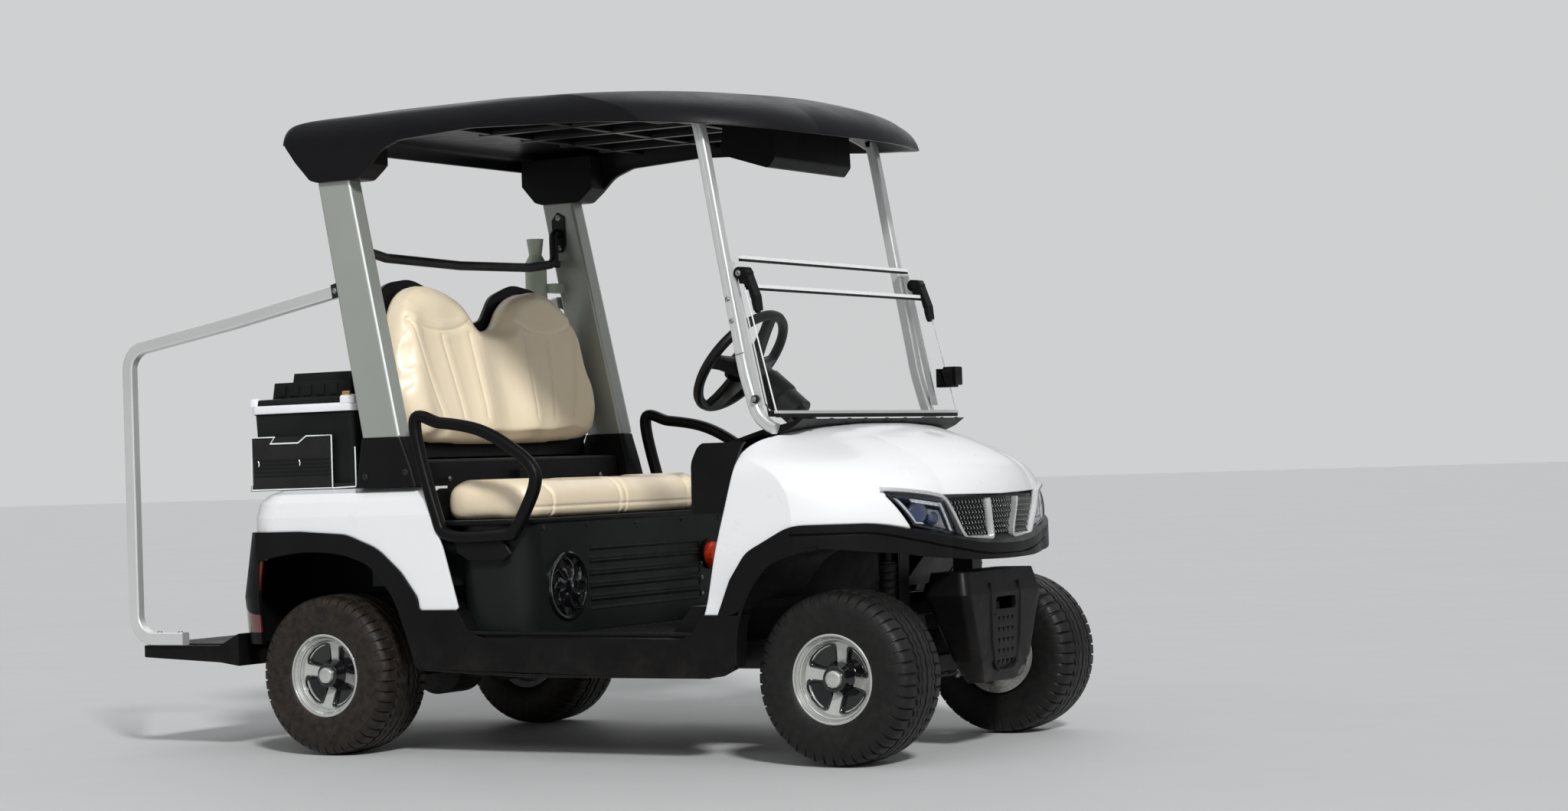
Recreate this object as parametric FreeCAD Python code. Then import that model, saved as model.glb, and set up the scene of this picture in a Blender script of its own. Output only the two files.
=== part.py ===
import FreeCAD, Part
import math
import os

# Two-place golf cart. Millimetres, +X forward, +Y to the left, +Z up, ground at Z = 0.
# All lengths along X are first counted from the rear axle, and the finished solids are
# then moved so that the origin lies on the ground under the middle of the outline.

# Overall layout
WHEELBASE = 1650.0
FRONT_TRACK = 950.0
REAR_TRACK = 990.0
BODY_HALF = 602.0          # white panels, half width
TRIM_HALF = 610.0          # black flares and rockers, half width of the whole cart
NOSE_REACH = 250.0         # bumper lip ahead of the front axle
RAIL_REACH = 747.0         # rear rails behind the rear axle

# Wheels
TYRE_DIAMETER = 457.0
TYRE_WIDTH = 216.0
TREAD_WIDTH = 172.0
SHOULDER_DROP = 12.0       # radius lost from crown to shoulder
TREAD_GROOVES = (-30.0, 30.0)
GROOVE_WIDTH = 8.0
GROOVE_DEPTH = 7.0
BEAD_RADIUS = 101.0
LIP_RADIUS = 118.0
WELL_RADIUS = 86.0
RIM_WIDTH = 190.0
RIM_WALL = 6.0
DISC_DEPTH = 44.0          # from the lip plane back to the foot of the dish
DISC_THICK = 16.0
DISH_RISE = 16.0           # the dish comes forward from the hub to the barrel
POCKETS = 4
POCKET_TURN = 35.0         # the wheels stand with their spokes at this angle
POCKET_ROOT_RADIUS = 44.0
POCKET_ROOT_ANGLE = 27.0   # half angle of a pocket at its root
POCKET_TIP_RADIUS = 91.0
POCKET_TIP_ANGLE = 35.0
POCKET_CORNER = 10.0
POCKET_FLOOR = 8.0         # below the foot of the dish
HUB_RADIUS = 40.0
HUB_FACE_RADIUS = 30.0
HUB_RISE = 32.0            # hub face ahead of the foot of the dish
HUB_LENGTH = 30.0          # hub behind the disc
CAP_RADIUS = 22.0
CAP_RISE = 8.0
STUB_RADIUS = 16.0
BORE_ROOF = 4.0            # metal left in front of the stub axle
RUNNING_GAP = 0.3          # clearance round moving pieces
SEAT_GAP = 0.3             # clearance of soft pieces to what carries them

# Front end of the running gear
KINGPIN_INSET = 132.0      # wheel centre plane to kingpin axis
KINGPIN_RADIUS = 9.0
KNUCKLE_RADIUS = 20.0
KNUCKLE_HEIGHT = 120.0
LUG_PLATE = 14.0
STEER_ARM = 105.0
STEER_ARM_THICK = 12.0
TIE_ROD_RADIUS = 9.0
BEAM_HEIGHT = 44.0
BEAM_DEPTH = 50.0
SHOCK_RADIUS = 24.0
SHOCK_TOP_Z = 545.0

# Rear axle
AXLE_TUBE_RADIUS = 34.0
DRUM_RADIUS = 84.0
DRUM_WIDTH = 46.0
DIFF_RADIUS = 96.0
DIFF_WIDTH = 120.0
MOTOR_RADIUS = 82.0
MOTOR_LENGTH = 210.0

# Frame
RAIL_Y = 248.0
RAIL_WIDTH = 50.0
RAIL_DEPTH = 60.0
FRAME_Z = 262.0            # centre of the main rails
KICK_Z = 408.0             # centre of the rails over the rear axle
SPRING_Y = 330.0
SPRING_WIDTH = 50.0
SPRING_THICK = 22.0
SPRING_REACH = 302.0       # axle to each spring eye
SPRING_EYE_Z = 322.0

# Body heights and walls
PANEL = 7.0                # wall of the white mouldings
FLOOR_TOP_Z = 338.0
FLOOR_THICK = 24.0
DECK_Z = 758.0
SEAT_BASE_Z = 660.0
SILL_BOTTOM_Z = 232.0
FLARE_DEPTH = 62.0
LIP_GROOVE_DEPTH = 6.0

# Seat
SEAT_FRONT = 668.0
SEAT_REAR = 322.0
SEAT_HALF = 492.0
CUSHION_BOTTOM_Z = SEAT_BASE_Z + 0.3
CUSHION_HEIGHT = 100.0
CUSHION_CORNER = 70.0
BACK_LEAN = 12.0
BACK_THICK = 86.0
BACK_FOOT_X = 287.0
BACK_FOOT_Z = 862.0
BACK_SHELL = 14.0
BACK_SPREAD = 0.948
SHELL_SPREAD = 0.968

# Roof and its carriers
ROOF_HALF = 608.0
ROOF_WALL = 16.0
ROOF_RIBS = (360.0, 640.0, 920.0)
ROOF_RIB_FOOT = 1770.0
STRUT_FOOT_Z = 900.0
STRUT_HEAD_Z = 1660.0
STRUT_THICK = 58.0
POST_Y = 486.0
POST_DEPTH = 36.0
POST_WIDTH = 30.0
POST_RAKE = 12.0
POST_BEND = 46.0
POST_CORNER = 5.0
GLASS = 5.0
CONSOLE_HALF = 215.0
LATCH_Z = 1024.0

# Rear rails and standing board
RAIL_TUBE = 38.0
RAIL_TUBE_Y = 560.0
RAIL_BEND = 70.0
RAIL_CORNER = 6.0
BOARD_TOP_Z = 312.0
BOARD_MAT_RISE = 4.0       # tread mat above the board, between the rails
BOARD_MAT_HALF = 532.0
BOARD_SLOT_FIRST = -680
BOARD_SLOT_LAST = -430
BOARD_SLOT_PITCH = 30

# Cooler on the right-hand rear wing
COOLER_X = -108.0
COOLER_Y = -385.0
COOLER_LENGTH = 372.0
COOLER_WIDTH = 270.0
COOLER_FOOT_Z = 776.0
COOLER_HEIGHT = 204.0
COOLER_WALL = 22.0
LID_HEIGHT = 42.0

# Guard under the nose
GUARD_FACE = 220.0         # front of the guard ahead of the front axle, at its knee
GUARD_SWELL = 3.0          # the front comes forward by this from the knee to the arms
GUARD_WALL = 12.0
GUARD_SLOTS = 9
GUARD_SLOT_PITCH = 22.0
GUARD_HOLE_ROWS = 5

# Sand bottle on the left strut
BOTTLE_X = 36.0
BOTTLE_Y = 470.0
BOTTLE_FOOT_Z = 1315.0
BOTTLE_RADIUS = 34.0

# Steering wheel
WHEEL_CENTRE_X = 918.0
WHEEL_CENTRE_Y = 240.0
WHEEL_CENTRE_Z = 1094.0
WHEEL_RADIUS = 168.0
GRIP_RADIUS = 15.0
GRIP_SIDES = 10
WHEEL_TILT = 40.0          # plane of the wheel from the vertical
COLUMN_RADIUS = 24.0
COLUMN_LENGTH = 430.0

FRONT = WHEELBASE
HUB_Z = TYRE_DIAMETER / 2
MID_X = (WHEELBASE + NOSE_REACH - RAIL_REACH) / 2
X_AXIS = FreeCAD.Vector(1, 0, 0)
Y_AXIS = FreeCAD.Vector(0, 1, 0)
Z_AXIS = FreeCAD.Vector(0, 0, 1)
FAR = 3000.0               # longer than the cart, for cutting tools

nodes = {}


def vec(x, y, z):
    return FreeCAD.Vector(x, y, z)


def keep(name, *shapes):
    solids = []
    for shape in shapes:
        solids.extend(shape.Solids)
    nodes[name] = Part.makeCompound(solids)


def box(x0, x1, y0, y1, z0, z1):
    return Part.makeBox(x1 - x0, y1 - y0, z1 - z0, vec(x0, y0, z0))


def rod(start, end, radius):
    along = end - start
    return Part.makeCylinder(radius, along.Length, start, along)


def mirrored(shape):
    return shape.mirror(vec(0, 0, 0), Y_AXIS)


def both(shape):
    return [shape, mirrored(shape)]


def joined(shapes):
    first = shapes[0]
    return first.fuse(shapes[1:]).removeSplitter() if len(shapes) > 1 else first


def rounded_wire(points, radii, closed=True):
    """Straight runs joined by tangent arcs. radii is one number or one per point."""
    count = len(points)
    if not hasattr(radii, "__len__"):
        radii = [radii] * count
    corners = []
    for i, point in enumerate(points):
        ends = closed or 0 < i < count - 1
        if not ends or radii[i] <= 0:
            corners.append((point, None, point))
            continue
        before = points[i - 1] - point
        after = points[(i + 1) % count] - point
        half = before.getAngle(after) / 2
        if half > math.pi / 2 - 0.01:
            corners.append((point, None, point))
            continue
        room = 0.48 * min(before.Length, after.Length)
        reach = min(radii[i] / math.tan(half), room)
        radius = reach * math.tan(half)
        before.normalize()
        after.normalize()
        inward = before + after
        inward.normalize()
        centre = point + inward * (radius / math.sin(half))
        corners.append((point + before * reach, centre - inward * radius, point + after * reach))
    edges = []
    for i, (start, middle, end) in enumerate(corners):
        if middle is not None:
            edges.append(Part.Arc(start, middle, end).toShape())
        if i < count - 1 or closed:
            following = corners[(i + 1) % count][0]
            if end.distanceToPoint(following) > 1e-6:
                edges.append(Part.LineSegment(end, following).toShape())
    return Part.Wire(edges)


def side_slab(outline, y0, y1, radii=0):
    """Outline of (x, z) points, extruded across the cart."""
    wire = rounded_wire([vec(x, y0, z) for x, z in outline], radii)
    return Part.Face(wire).extrude(vec(0, y1 - y0, 0))


def plan_slab(outline, z0, z1, radii=0):
    """Outline of (x, y) points, extruded upwards."""
    wire = rounded_wire([vec(x, y, z0) for x, y in outline], radii)
    return Part.Face(wire).extrude(vec(0, 0, z1 - z0))


def front_slab(outline, x0, x1, radii=0):
    """Outline of (y, z) points, extruded forwards."""
    wire = rounded_wire([vec(x0, y, z) for y, z in outline], radii)
    return Part.Face(wire).extrude(vec(x1 - x0, 0, 0))


def bar(points, bend, across, along_y, corner=0.0):
    """A bar of rectangular section that follows points in a plane of constant Y."""
    path = rounded_wire(points, bend, closed=False)
    start = points[0]
    heading = (points[1] - start).normalize()
    side = heading.cross(Y_AXIS).normalize()
    half_side = side * (across / 2)
    half_y = Y_AXIS * (along_y / 2)
    ring = [start + half_side + half_y, start - half_side + half_y]
    ring += [start - half_side - half_y, start + half_side - half_y]
    section = rounded_wire(ring, corner)
    return path.makePipeShell([section], True, False)


def pipe(points, bend, radius):
    path = rounded_wire(points, bend, closed=False)
    heading = points[1] - points[0]
    section = Part.Wire([Part.Circle(points[0], heading, radius).toShape()])
    return path.makePipeShell([section], True, False)


def plan_section(row, inset):
    """One level of a body: straight tail, rounded tail corners, sides, bowed nose."""
    z, nose, tail, half, tail_round, bow, cheek, flank = row
    nose = nose - inset
    tail = tail + inset
    half = half - inset
    arc_y = 0.45 * half
    cheek_y = 0.79 * half
    near = 0.2929 * tail_round
    right = [
        Part.LineSegment(vec(tail, tail_round - half, z), vec(tail, half - tail_round, z)),
        Part.Arc(
            vec(tail, half - tail_round, z),
            vec(tail + near, half - near, z),
            vec(tail + tail_round, half, z),
        ),
        Part.LineSegment(vec(tail + tail_round, half, z), vec(nose - flank, half, z)),
        Part.Arc(
            vec(nose - flank, half, z),
            vec(nose - cheek, cheek_y, z),
            vec(nose - bow, arc_y, z),
        ),
        Part.Arc(vec(nose - bow, arc_y, z), vec(nose, 0, z), vec(nose - bow, -arc_y, z)),
        Part.Arc(
            vec(nose - bow, -arc_y, z),
            vec(nose - cheek, -cheek_y, z),
            vec(nose - flank, -half, z),
        ),
        Part.LineSegment(vec(nose - flank, -half, z), vec(tail + tail_round, -half, z)),
        Part.Arc(
            vec(tail + tail_round, -half, z),
            vec(tail + near, near - half, z),
            vec(tail, tail_round - half, z),
        ),
    ]
    return Part.Wire([curve.toShape() for curve in right])


def plan_loft(rows, inset=0.0, ruled=False):
    sections = []
    for index, row in enumerate(rows):
        drop = inset if index else 0.0
        lowered = (row[0] - drop,) + tuple(row[1:])
        sections.append(plan_section(lowered, inset))
    return Part.makeLoft(sections, True, ruled)


def level_loft(rows, corner):
    """Loft through rounded rectangles. Columns: z, x0, x1, y0, y1."""
    sections = []
    for z, x0, x1, y0, y1 in rows:
        ring = [vec(x0, y0, z), vec(x1, y0, z), vec(x1, y1, z), vec(x0, y1, z)]
        sections.append(rounded_wire(ring, corner))
    return Part.makeLoft(sections, True, True)


def softened(shape, radius, wanted):
    """Fillet the edges that wanted(edge) picks."""
    edges = [edge for edge in shape.Edges if wanted(edge)]
    return shape.makeFillet(radius, edges) if edges else shape


# Wheels, drawn about +Z with the lip plane at Z = 0 and the inner side below

def turned(outline):
    """A solid of revolution about +Z from (radius, z) points."""
    ring = Part.Wire(Part.makePolygon([vec(r, 0, z) for r, z in outline + outline[:1]]))
    return Part.Face(ring).revolve(vec(0, 0, 0), Z_AXIS, 360)


def tyre_solid():
    crown = TYRE_DIAMETER / 2
    half = TYRE_WIDTH / 2
    tread = TREAD_WIDTH / 2
    bead = RIM_WIDTH / 2 - 15
    seat = BEAD_RADIUS + SEAT_GAP
    side = [
        (seat, bead),
        (LIP_RADIUS + SEAT_GAP, bead + 7),
        (LIP_RADIUS + SEAT_GAP, RIM_WIDTH / 2),
        (LIP_RADIUS + 34, half),
        (crown - 32, half - 3),
        (crown - SHOULDER_DROP, tread + 10),
        (crown, tread * 0.8),
    ]
    tyre = turned(side + [(r, -z) for r, z in side[::-1]])
    for offset in TREAD_GROOVES:
        groove = turned([
            (crown - GROOVE_DEPTH, offset - GROOVE_WIDTH / 2),
            (crown + GROOVE_DEPTH, offset - GROOVE_WIDTH / 2),
            (crown + GROOVE_DEPTH, offset + GROOVE_WIDTH / 2),
            (crown - GROOVE_DEPTH, offset + GROOVE_WIDTH / 2),
        ])
        tyre = tyre.cut(groove)
    return tyre


def pocket_solid():
    """A rounded sector along +X, standing on Z = 0."""
    corners = []
    for radius, angle in ((POCKET_ROOT_RADIUS, POCKET_ROOT_ANGLE), (POCKET_TIP_RADIUS, POCKET_TIP_ANGLE)):
        turn = math.radians(angle)
        corners.append((radius * math.cos(turn), radius * math.sin(turn)))
    root, tip = corners
    outline = [(root[0], -root[1]), (tip[0], -tip[1]), (POCKET_TIP_RADIUS, 0), tip, root]
    radii = [POCKET_CORNER, POCKET_CORNER, POCKET_TIP_RADIUS, POCKET_CORNER, POCKET_CORNER]
    return plan_slab(outline, 0, DISC_DEPTH, radii)


def rim_solid():
    half = RIM_WIDTH / 2
    face_z = half - DISC_DEPTH
    back_z = face_z - DISC_THICK
    hub_z = back_z - HUB_LENGTH
    cap_z = face_z + HUB_RISE + CAP_RISE
    inner = BEAD_RADIUS - RIM_WALL
    wheel = turned([
        (LIP_RADIUS, half),
        (LIP_RADIUS, half - 7),
        (BEAD_RADIUS, half - 14),
        (BEAD_RADIUS, half - 42),
        (WELL_RADIUS, half - 58),
        (WELL_RADIUS, 40 - half),
        (BEAD_RADIUS, 26 - half),
        (BEAD_RADIUS, 14 - half),
        (LIP_RADIUS - 6, 7 - half),
        (LIP_RADIUS - 6, -half),
        (inner, 8 - half),
        (inner, 30 - half),
        (WELL_RADIUS - RIM_WALL, 46 - half),
        (WELL_RADIUS - RIM_WALL, back_z),
        (HUB_RADIUS + 6, back_z),
        (HUB_RADIUS + 6, hub_z),
        (STUB_RADIUS + RUNNING_GAP, hub_z),
        (STUB_RADIUS + RUNNING_GAP, face_z + HUB_RISE - BORE_ROOF),
        (0, face_z + HUB_RISE - BORE_ROOF),
        (0, cap_z),
        (CAP_RADIUS - 3, cap_z),
        (CAP_RADIUS, cap_z - 3),
        (CAP_RADIUS, face_z + HUB_RISE),
        (HUB_FACE_RADIUS, face_z + HUB_RISE),
        (HUB_RADIUS, face_z),
        (inner, face_z + DISH_RISE),
        (LIP_RADIUS - 7, half - 2),
        (LIP_RADIUS - 5, half),
    ])
    for index in range(POCKETS):
        pocket = pocket_solid()
        pocket.translate(vec(0, 0, face_z - POCKET_FLOOR))
        pocket.rotate(vec(0, 0, 0), Z_AXIS, 360 / POCKETS * index + POCKET_TURN)
        wheel = wheel.cut(pocket)
    return wheel


def place_wheel(shape, x, y, mirror):
    placed = shape.copy()
    placed.rotate(vec(0, 0, 0), X_AXIS, 90 if mirror else -90)
    placed.translate(vec(x, y, HUB_Z))
    return placed


rim = rim_solid()
tyre = tyre_solid()
WHEELS = [
    ("front_left", FRONT, FRONT_TRACK / 2),
    ("front_right", FRONT, -FRONT_TRACK / 2),
    ("rear_left", 0.0, REAR_TRACK / 2),
    ("rear_right", 0.0, -REAR_TRACK / 2),
]
for name, x, y in WHEELS:
    keep("tyre_" + name, place_wheel(tyre, x, y, y < 0))
    keep("rim_" + name, place_wheel(rim, x, y, y < 0))

# Rear axle: tubes, brake drums, differential and drive motor
rim_inner_y = RIM_WIDTH / 2 - DISC_DEPTH - DISC_THICK - HUB_LENGTH
stub_end = RIM_WIDTH / 2 - DISC_DEPTH + HUB_RISE - BORE_ROOF - RUNNING_GAP
rear_hub_y = REAR_TRACK / 2 + rim_inner_y - RUNNING_GAP
axle_parts = [
    rod(vec(0, -rear_hub_y + DRUM_WIDTH, HUB_Z), vec(0, rear_hub_y - DRUM_WIDTH, HUB_Z), AXLE_TUBE_RADIUS),
    rod(vec(0, -DIFF_WIDTH / 2, HUB_Z), vec(0, DIFF_WIDTH / 2, HUB_Z), DIFF_RADIUS),
    rod(
        vec(DIFF_RADIUS + 60, DIFF_WIDTH / 2 - 10, HUB_Z + 20),
        vec(DIFF_RADIUS + 60, DIFF_WIDTH / 2 + MOTOR_LENGTH, HUB_Z + 20),
        MOTOR_RADIUS,
    ),
    box(20, DIFF_RADIUS + 60, -DIFF_WIDTH / 2 + 8, DIFF_WIDTH / 2 - 8, HUB_Z - 44, HUB_Z + 64),
]
for sign in (1, -1):
    inner = sign * (rear_hub_y - DRUM_WIDTH)
    outer = sign * rear_hub_y
    axle_parts.append(rod(vec(0, inner, HUB_Z), vec(0, outer, HUB_Z), DRUM_RADIUS * 0.82))
    shaft_end = sign * (REAR_TRACK / 2 + stub_end)
    axle_parts.append(rod(vec(0, outer, HUB_Z), vec(0, shaft_end, HUB_Z), STUB_RADIUS))
    pad_y = sign * SPRING_Y
    half = SPRING_WIDTH / 2
    axle_parts.append(box(-45, 45, pad_y - half, pad_y + half, HUB_Z + 20, HUB_Z + 52))
keep("rear_axle", joined(axle_parts))

# Steering knuckles on kingpins, stub axles and steering arms
kingpin_y = FRONT_TRACK / 2 - KINGPIN_INSET
arm_y = kingpin_y           # straight arms, so that the tie rod closes a parallelogram
arm_x = FRONT - STEER_ARM
knuckle_top = HUB_Z + KNUCKLE_HEIGHT / 2
knuckle_foot = HUB_Z - KNUCKLE_HEIGHT / 2
arm_z = knuckle_foot + 20
front_hub_y = FRONT_TRACK / 2 + rim_inner_y - RUNNING_GAP
stud_length = 26.0
for name, side in (("knuckle_left", 1), ("knuckle_right", -1)):
    centre = vec(FRONT, side * kingpin_y, knuckle_foot)
    barrel = Part.makeCylinder(KNUCKLE_RADIUS, KNUCKLE_HEIGHT, centre)
    flange = rod(vec(FRONT, side * (kingpin_y + 8), HUB_Z), vec(FRONT, side * front_hub_y, HUB_Z), 34)
    stub_tip = side * (FRONT_TRACK / 2 + stub_end)
    stub = rod(vec(FRONT, side * front_hub_y, HUB_Z), vec(FRONT, stub_tip, HUB_Z), STUB_RADIUS)
    arm = plan_slab(
        [
            (FRONT + 6, side * (kingpin_y - 14)),
            (FRONT + 6, side * (kingpin_y + 14)),
            (arm_x - 14, side * (arm_y + 12)),
            (arm_x - 14, side * (arm_y - 12)),
        ],
        arm_z,
        arm_z + STEER_ARM_THICK,
        5,
    )
    stud = Part.makeCylinder(6, stud_length, vec(arm_x, side * arm_y, arm_z - stud_length))
    solid = joined([barrel, flange, stub, arm, stud])
    bore = Part.makeCylinder(KINGPIN_RADIUS + RUNNING_GAP, KNUCKLE_HEIGHT, centre)
    keep(name, solid.cut(bore))

eye_top = arm_z - RUNNING_GAP - 1.0
tie_z = eye_top - 10
tie = rod(vec(arm_x, -arm_y, tie_z), vec(arm_x, arm_y, tie_z), TIE_ROD_RADIUS)
eyes = [Part.makeCylinder(15, 20, vec(arm_x, side * arm_y, eye_top - 20)) for side in (1, -1)]
tie = joined([tie] + eyes)
for side in (1, -1):
    tie = tie.cut(Part.makeCylinder(6 + RUNNING_GAP, 40, vec(arm_x, side * arm_y, eye_top - 30)))
keep("tie_rod", tie)

# Front axle: cross beam with forks round the knuckles, lower wishbones and spring legs
fork_gap = RUNNING_GAP
plate_in = kingpin_y - 60
beam_parts = [
    box(FRONT - BEAM_DEPTH / 2, FRONT + BEAM_DEPTH / 2, -plate_in, plate_in, HUB_Z - BEAM_HEIGHT / 2, HUB_Z + BEAM_HEIGHT / 2)
]
for side in (1, -1):
    for low in (knuckle_top + fork_gap, knuckle_foot - fork_gap - LUG_PLATE):
        y_a = side * (plate_in - 24)
        y_b = side * (kingpin_y + KNUCKLE_RADIUS + 2)
        plate = plan_slab(
            [(FRONT - 26, y_a), (FRONT + 26, y_a), (FRONT + 18, y_b), (FRONT - 18, y_b)],
            low,
            low + LUG_PLATE,
            8,
        )
        beam_parts.append(plate)
    y_in = min(side * (plate_in - 24), side * plate_in)
    y_out = max(side * (plate_in - 24), side * plate_in)
    beam_parts.append(
        box(FRONT - 26, FRONT + 26, y_in, y_out, knuckle_foot - fork_gap - LUG_PLATE, knuckle_top + fork_gap + LUG_PLATE)
    )
    pin_low = knuckle_foot - fork_gap - LUG_PLATE - 6
    pin_high = knuckle_top + fork_gap + LUG_PLATE + 6
    beam_parts.append(rod(vec(FRONT, side * kingpin_y, pin_low), vec(FRONT, side * kingpin_y, pin_high), KINGPIN_RADIUS))
    shock_foot = vec(FRONT + 2, side * (plate_in - 12), HUB_Z + 40)
    shock_head = vec(FRONT + 2, side * (plate_in - 40), SHOCK_TOP_Z)
    beam_parts.append(rod(shock_foot, shock_head, 12))
    spring_start = shock_foot + (shock_head - shock_foot) * 0.28
    beam_parts.append(rod(spring_start, shock_foot + (shock_head - shock_foot) * 0.9, SHOCK_RADIUS))
keep("front_axle", joined(beam_parts))

# Frame: two rails kicked up over the rear axle, cross members and leaf springs
rail_tail = -308.0
rail_nose = FRONT + 70.0
guard_arm_tip = FRONT + GUARD_FACE - GUARD_WALL + GUARD_SWELL - SEAT_GAP
rails = []
for side in (1, -1):
    y = side * RAIL_Y
    route = [
        vec(rail_tail, y, KICK_Z),
        vec(230, y, KICK_Z),
        vec(400, y, FRAME_Z),
        vec(FRONT - 330, y, FRAME_Z),
        vec(FRONT - 180, y, FRAME_Z + 90),
        vec(rail_nose, y, FRAME_Z + 90),
    ]
    rails.append(bar(route, 60, RAIL_DEPTH, RAIL_WIDTH))
tower_x = FRONT + 2
shock_clear = []
for side in (1, -1):
    shock_foot = vec(tower_x, side * (plate_in - 12), HUB_Z + 40)
    shock_head = vec(tower_x, side * (plate_in - 40), SHOCK_TOP_Z)
    shock_clear.append(rod(shock_foot, shock_head, SHOCK_RADIUS + 6))
rails = [rail.cut(shock_clear) for rail in rails]
keep("chassis_frame", *rails)

# Cross members welded between the rails, outriggers to the rockers and arms for the guard
CROSS = [
    (rail_tail + 30, KICK_Z),
    (215, KICK_Z),
    (470, FRAME_Z),
    (860, FRAME_Z),
    (FRONT - 345, FRAME_Z),
    (FRONT + 50, FRAME_Z + 90),
]
rail_in = RAIL_Y - RAIL_WIDTH / 2
rail_out = RAIL_Y + RAIL_WIDTH / 2
rocker_in = TRIM_HALF - FLARE_DEPTH - 0.5
members = []
for x, z in CROSS:
    members.append(box(x - 20, x + 20, -rail_in, rail_in, z - 20, z + 20))
for x in (500, 1180):
    for side in (1, -1):
        outrigger = box(x - 18, x + 18, rail_out, rocker_in, FRAME_Z - 15, FRAME_Z + 15)
        members.append(outrigger if side > 0 else mirrored(outrigger))
for side in (1, -1):
    y = side * 140
    members.append(box(FRONT + 70, guard_arm_tip, y - 15, y + 15, FRAME_Z + 75, FRAME_Z + 105))
keep("cross_members", *members)

# Towers that hold the front spring legs, tied by a bar over the axle
tower = box(tower_x - 30, tower_x + 30, RAIL_Y - 60, RAIL_Y, FRAME_Z + 100, SHOCK_TOP_Z + 25)
towers = both(tower)
towers.append(box(tower_x - 22, tower_x + 22, -RAIL_Y, RAIL_Y, SHOCK_TOP_Z + 5, SHOCK_TOP_Z + 35))
keep("shock_towers", joined(towers).cut(rails + members + shock_clear))

# Leaf springs with their hangers on the rails
spring_z = HUB_Z + 52 + SEAT_GAP + SPRING_THICK / 2
leaf = [
    vec(-SPRING_REACH, SPRING_Y, SPRING_EYE_Z),
    vec(-60, SPRING_Y, spring_z),
    vec(60, SPRING_Y, spring_z),
    vec(SPRING_REACH, SPRING_Y, SPRING_EYE_Z),
]
spring_out = SPRING_Y + SPRING_WIDTH / 2
spring = bar(leaf, 300, SPRING_THICK, SPRING_WIDTH)
rear_hanger = box(-SPRING_REACH - 4, 24 - SPRING_REACH, rail_out, spring_out, SPRING_EYE_Z - 16, KICK_Z)
front_hanger = box(SPRING_REACH - 24, SPRING_REACH + 4, rail_out, spring_out, SPRING_EYE_Z - 16, SPRING_EYE_Z + 24)
spring = joined([spring, rear_hanger, front_hanger])
keep("leaf_springs", *both(spring))

# Lower black mouldings. Side outlines are (x, z); front ones are counted from the front axle
FLARE_TOP = [
    (-366, 397), (-316, 397), (-277, 489), (-226, 560), (-90, 628), (110, 628), (190, 596), (252, 554), (300, 546)
]
FLARE_FOOT = [(300, 508), (235, 518), (147, 546), (-14, 567), (-150, 536), (-222, 460), (-262, 366), (-270, 264)]
REAR_TOP = [(-222, 640), (-65, 640), (105, 629), (215, 588), (296, 520), (350, 450), (356, 414), (488, 414)]
REAR_FOOT = [(400, 250), (345, 258), (328, 302), (304, 367), (266, 455), (186, 544), (75, 578), (-67, 585), (-222, 562)]
LIP_ROWS = [
    # z, nose, tail, half, tail_round, bow, cheek, flank
    (150.0, FRONT + NOSE_REACH, -700.0, TRIM_HALF, 10.0, 40.0, 135.0, 330.0),
    (760.0, FRONT + NOSE_REACH, -700.0, TRIM_HALF, 10.0, 40.0, 135.0, 330.0),
]
trim_outer = plan_loft(LIP_ROWS, ruled=True)
trim_inner = plan_loft([(100.0,) + LIP_ROWS[0][1:], (800.0,) + LIP_ROWS[1][1:]], FLARE_DEPTH, ruled=True)
trim_ring = trim_outer.cut(trim_inner)


def ahead(points):
    return [(FRONT + x, z) for x, z in points]


flare_line = ahead(FLARE_TOP)
flare_outline = flare_line[1:] + ahead(FLARE_FOOT[:6]) + [(FRONT - 253, 397)]
flare_band = side_slab(flare_outline, -FAR, FAR, [0, 60, 90, 160, 300, 200, 90, 20, 8, 8, 60, 160, 200, 160, 90, 0])
flare_band = flare_band.common(box(FRONT - 400, FRONT + 400, -FAR / 3, FAR / 3, 300, 800))
LIP_GROOVE = [(-90, 606), (110, 606), (186, 575), (246, 534), (300, 526), (300, 521), (243, 529), (183, 570), (108, 600), (-90, 600)]
groove_band = side_slab(ahead(LIP_GROOVE), -FAR / 3, FAR / 3, [0, 200, 90, 20, 0, 0, 20, 90, 200, 0])
groove_core = plan_loft([(100.0,) + LIP_ROWS[0][1:], (800.0,) + LIP_ROWS[1][1:]], LIP_GROOVE_DEPTH, ruled=True)
front_flare = flare_band.common(trim_ring).cut(groove_band.cut(groove_core))

rocker_outline = REAR_TOP + [(520, 362), (566, 338)]
rocker_outline += ahead([(-428, 334), (-396, 352), (-366, 396.5), (-253.5, 396.5)])
rocker_outline += ahead([(-262, 366), (-270, 264), (-340, SILL_BOTTOM_Z), (-440, SILL_BOTTOM_Z)])
rocker_outline += REAR_FOOT
rocker_radii = [8, 40, 140, 160, 120, 40, 12, 20, 40, 60, 60, 40, 0, 0, 40, 20, 30, 60, 30, 40, 60, 120, 120, 140, 100, 60, 8]
rocker_left = side_slab(rocker_outline, TRIM_HALF - FLARE_DEPTH, TRIM_HALF, rocker_radii)
rockers = Part.makeCompound(both(rocker_left))
keep("rockers", rockers)

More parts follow.
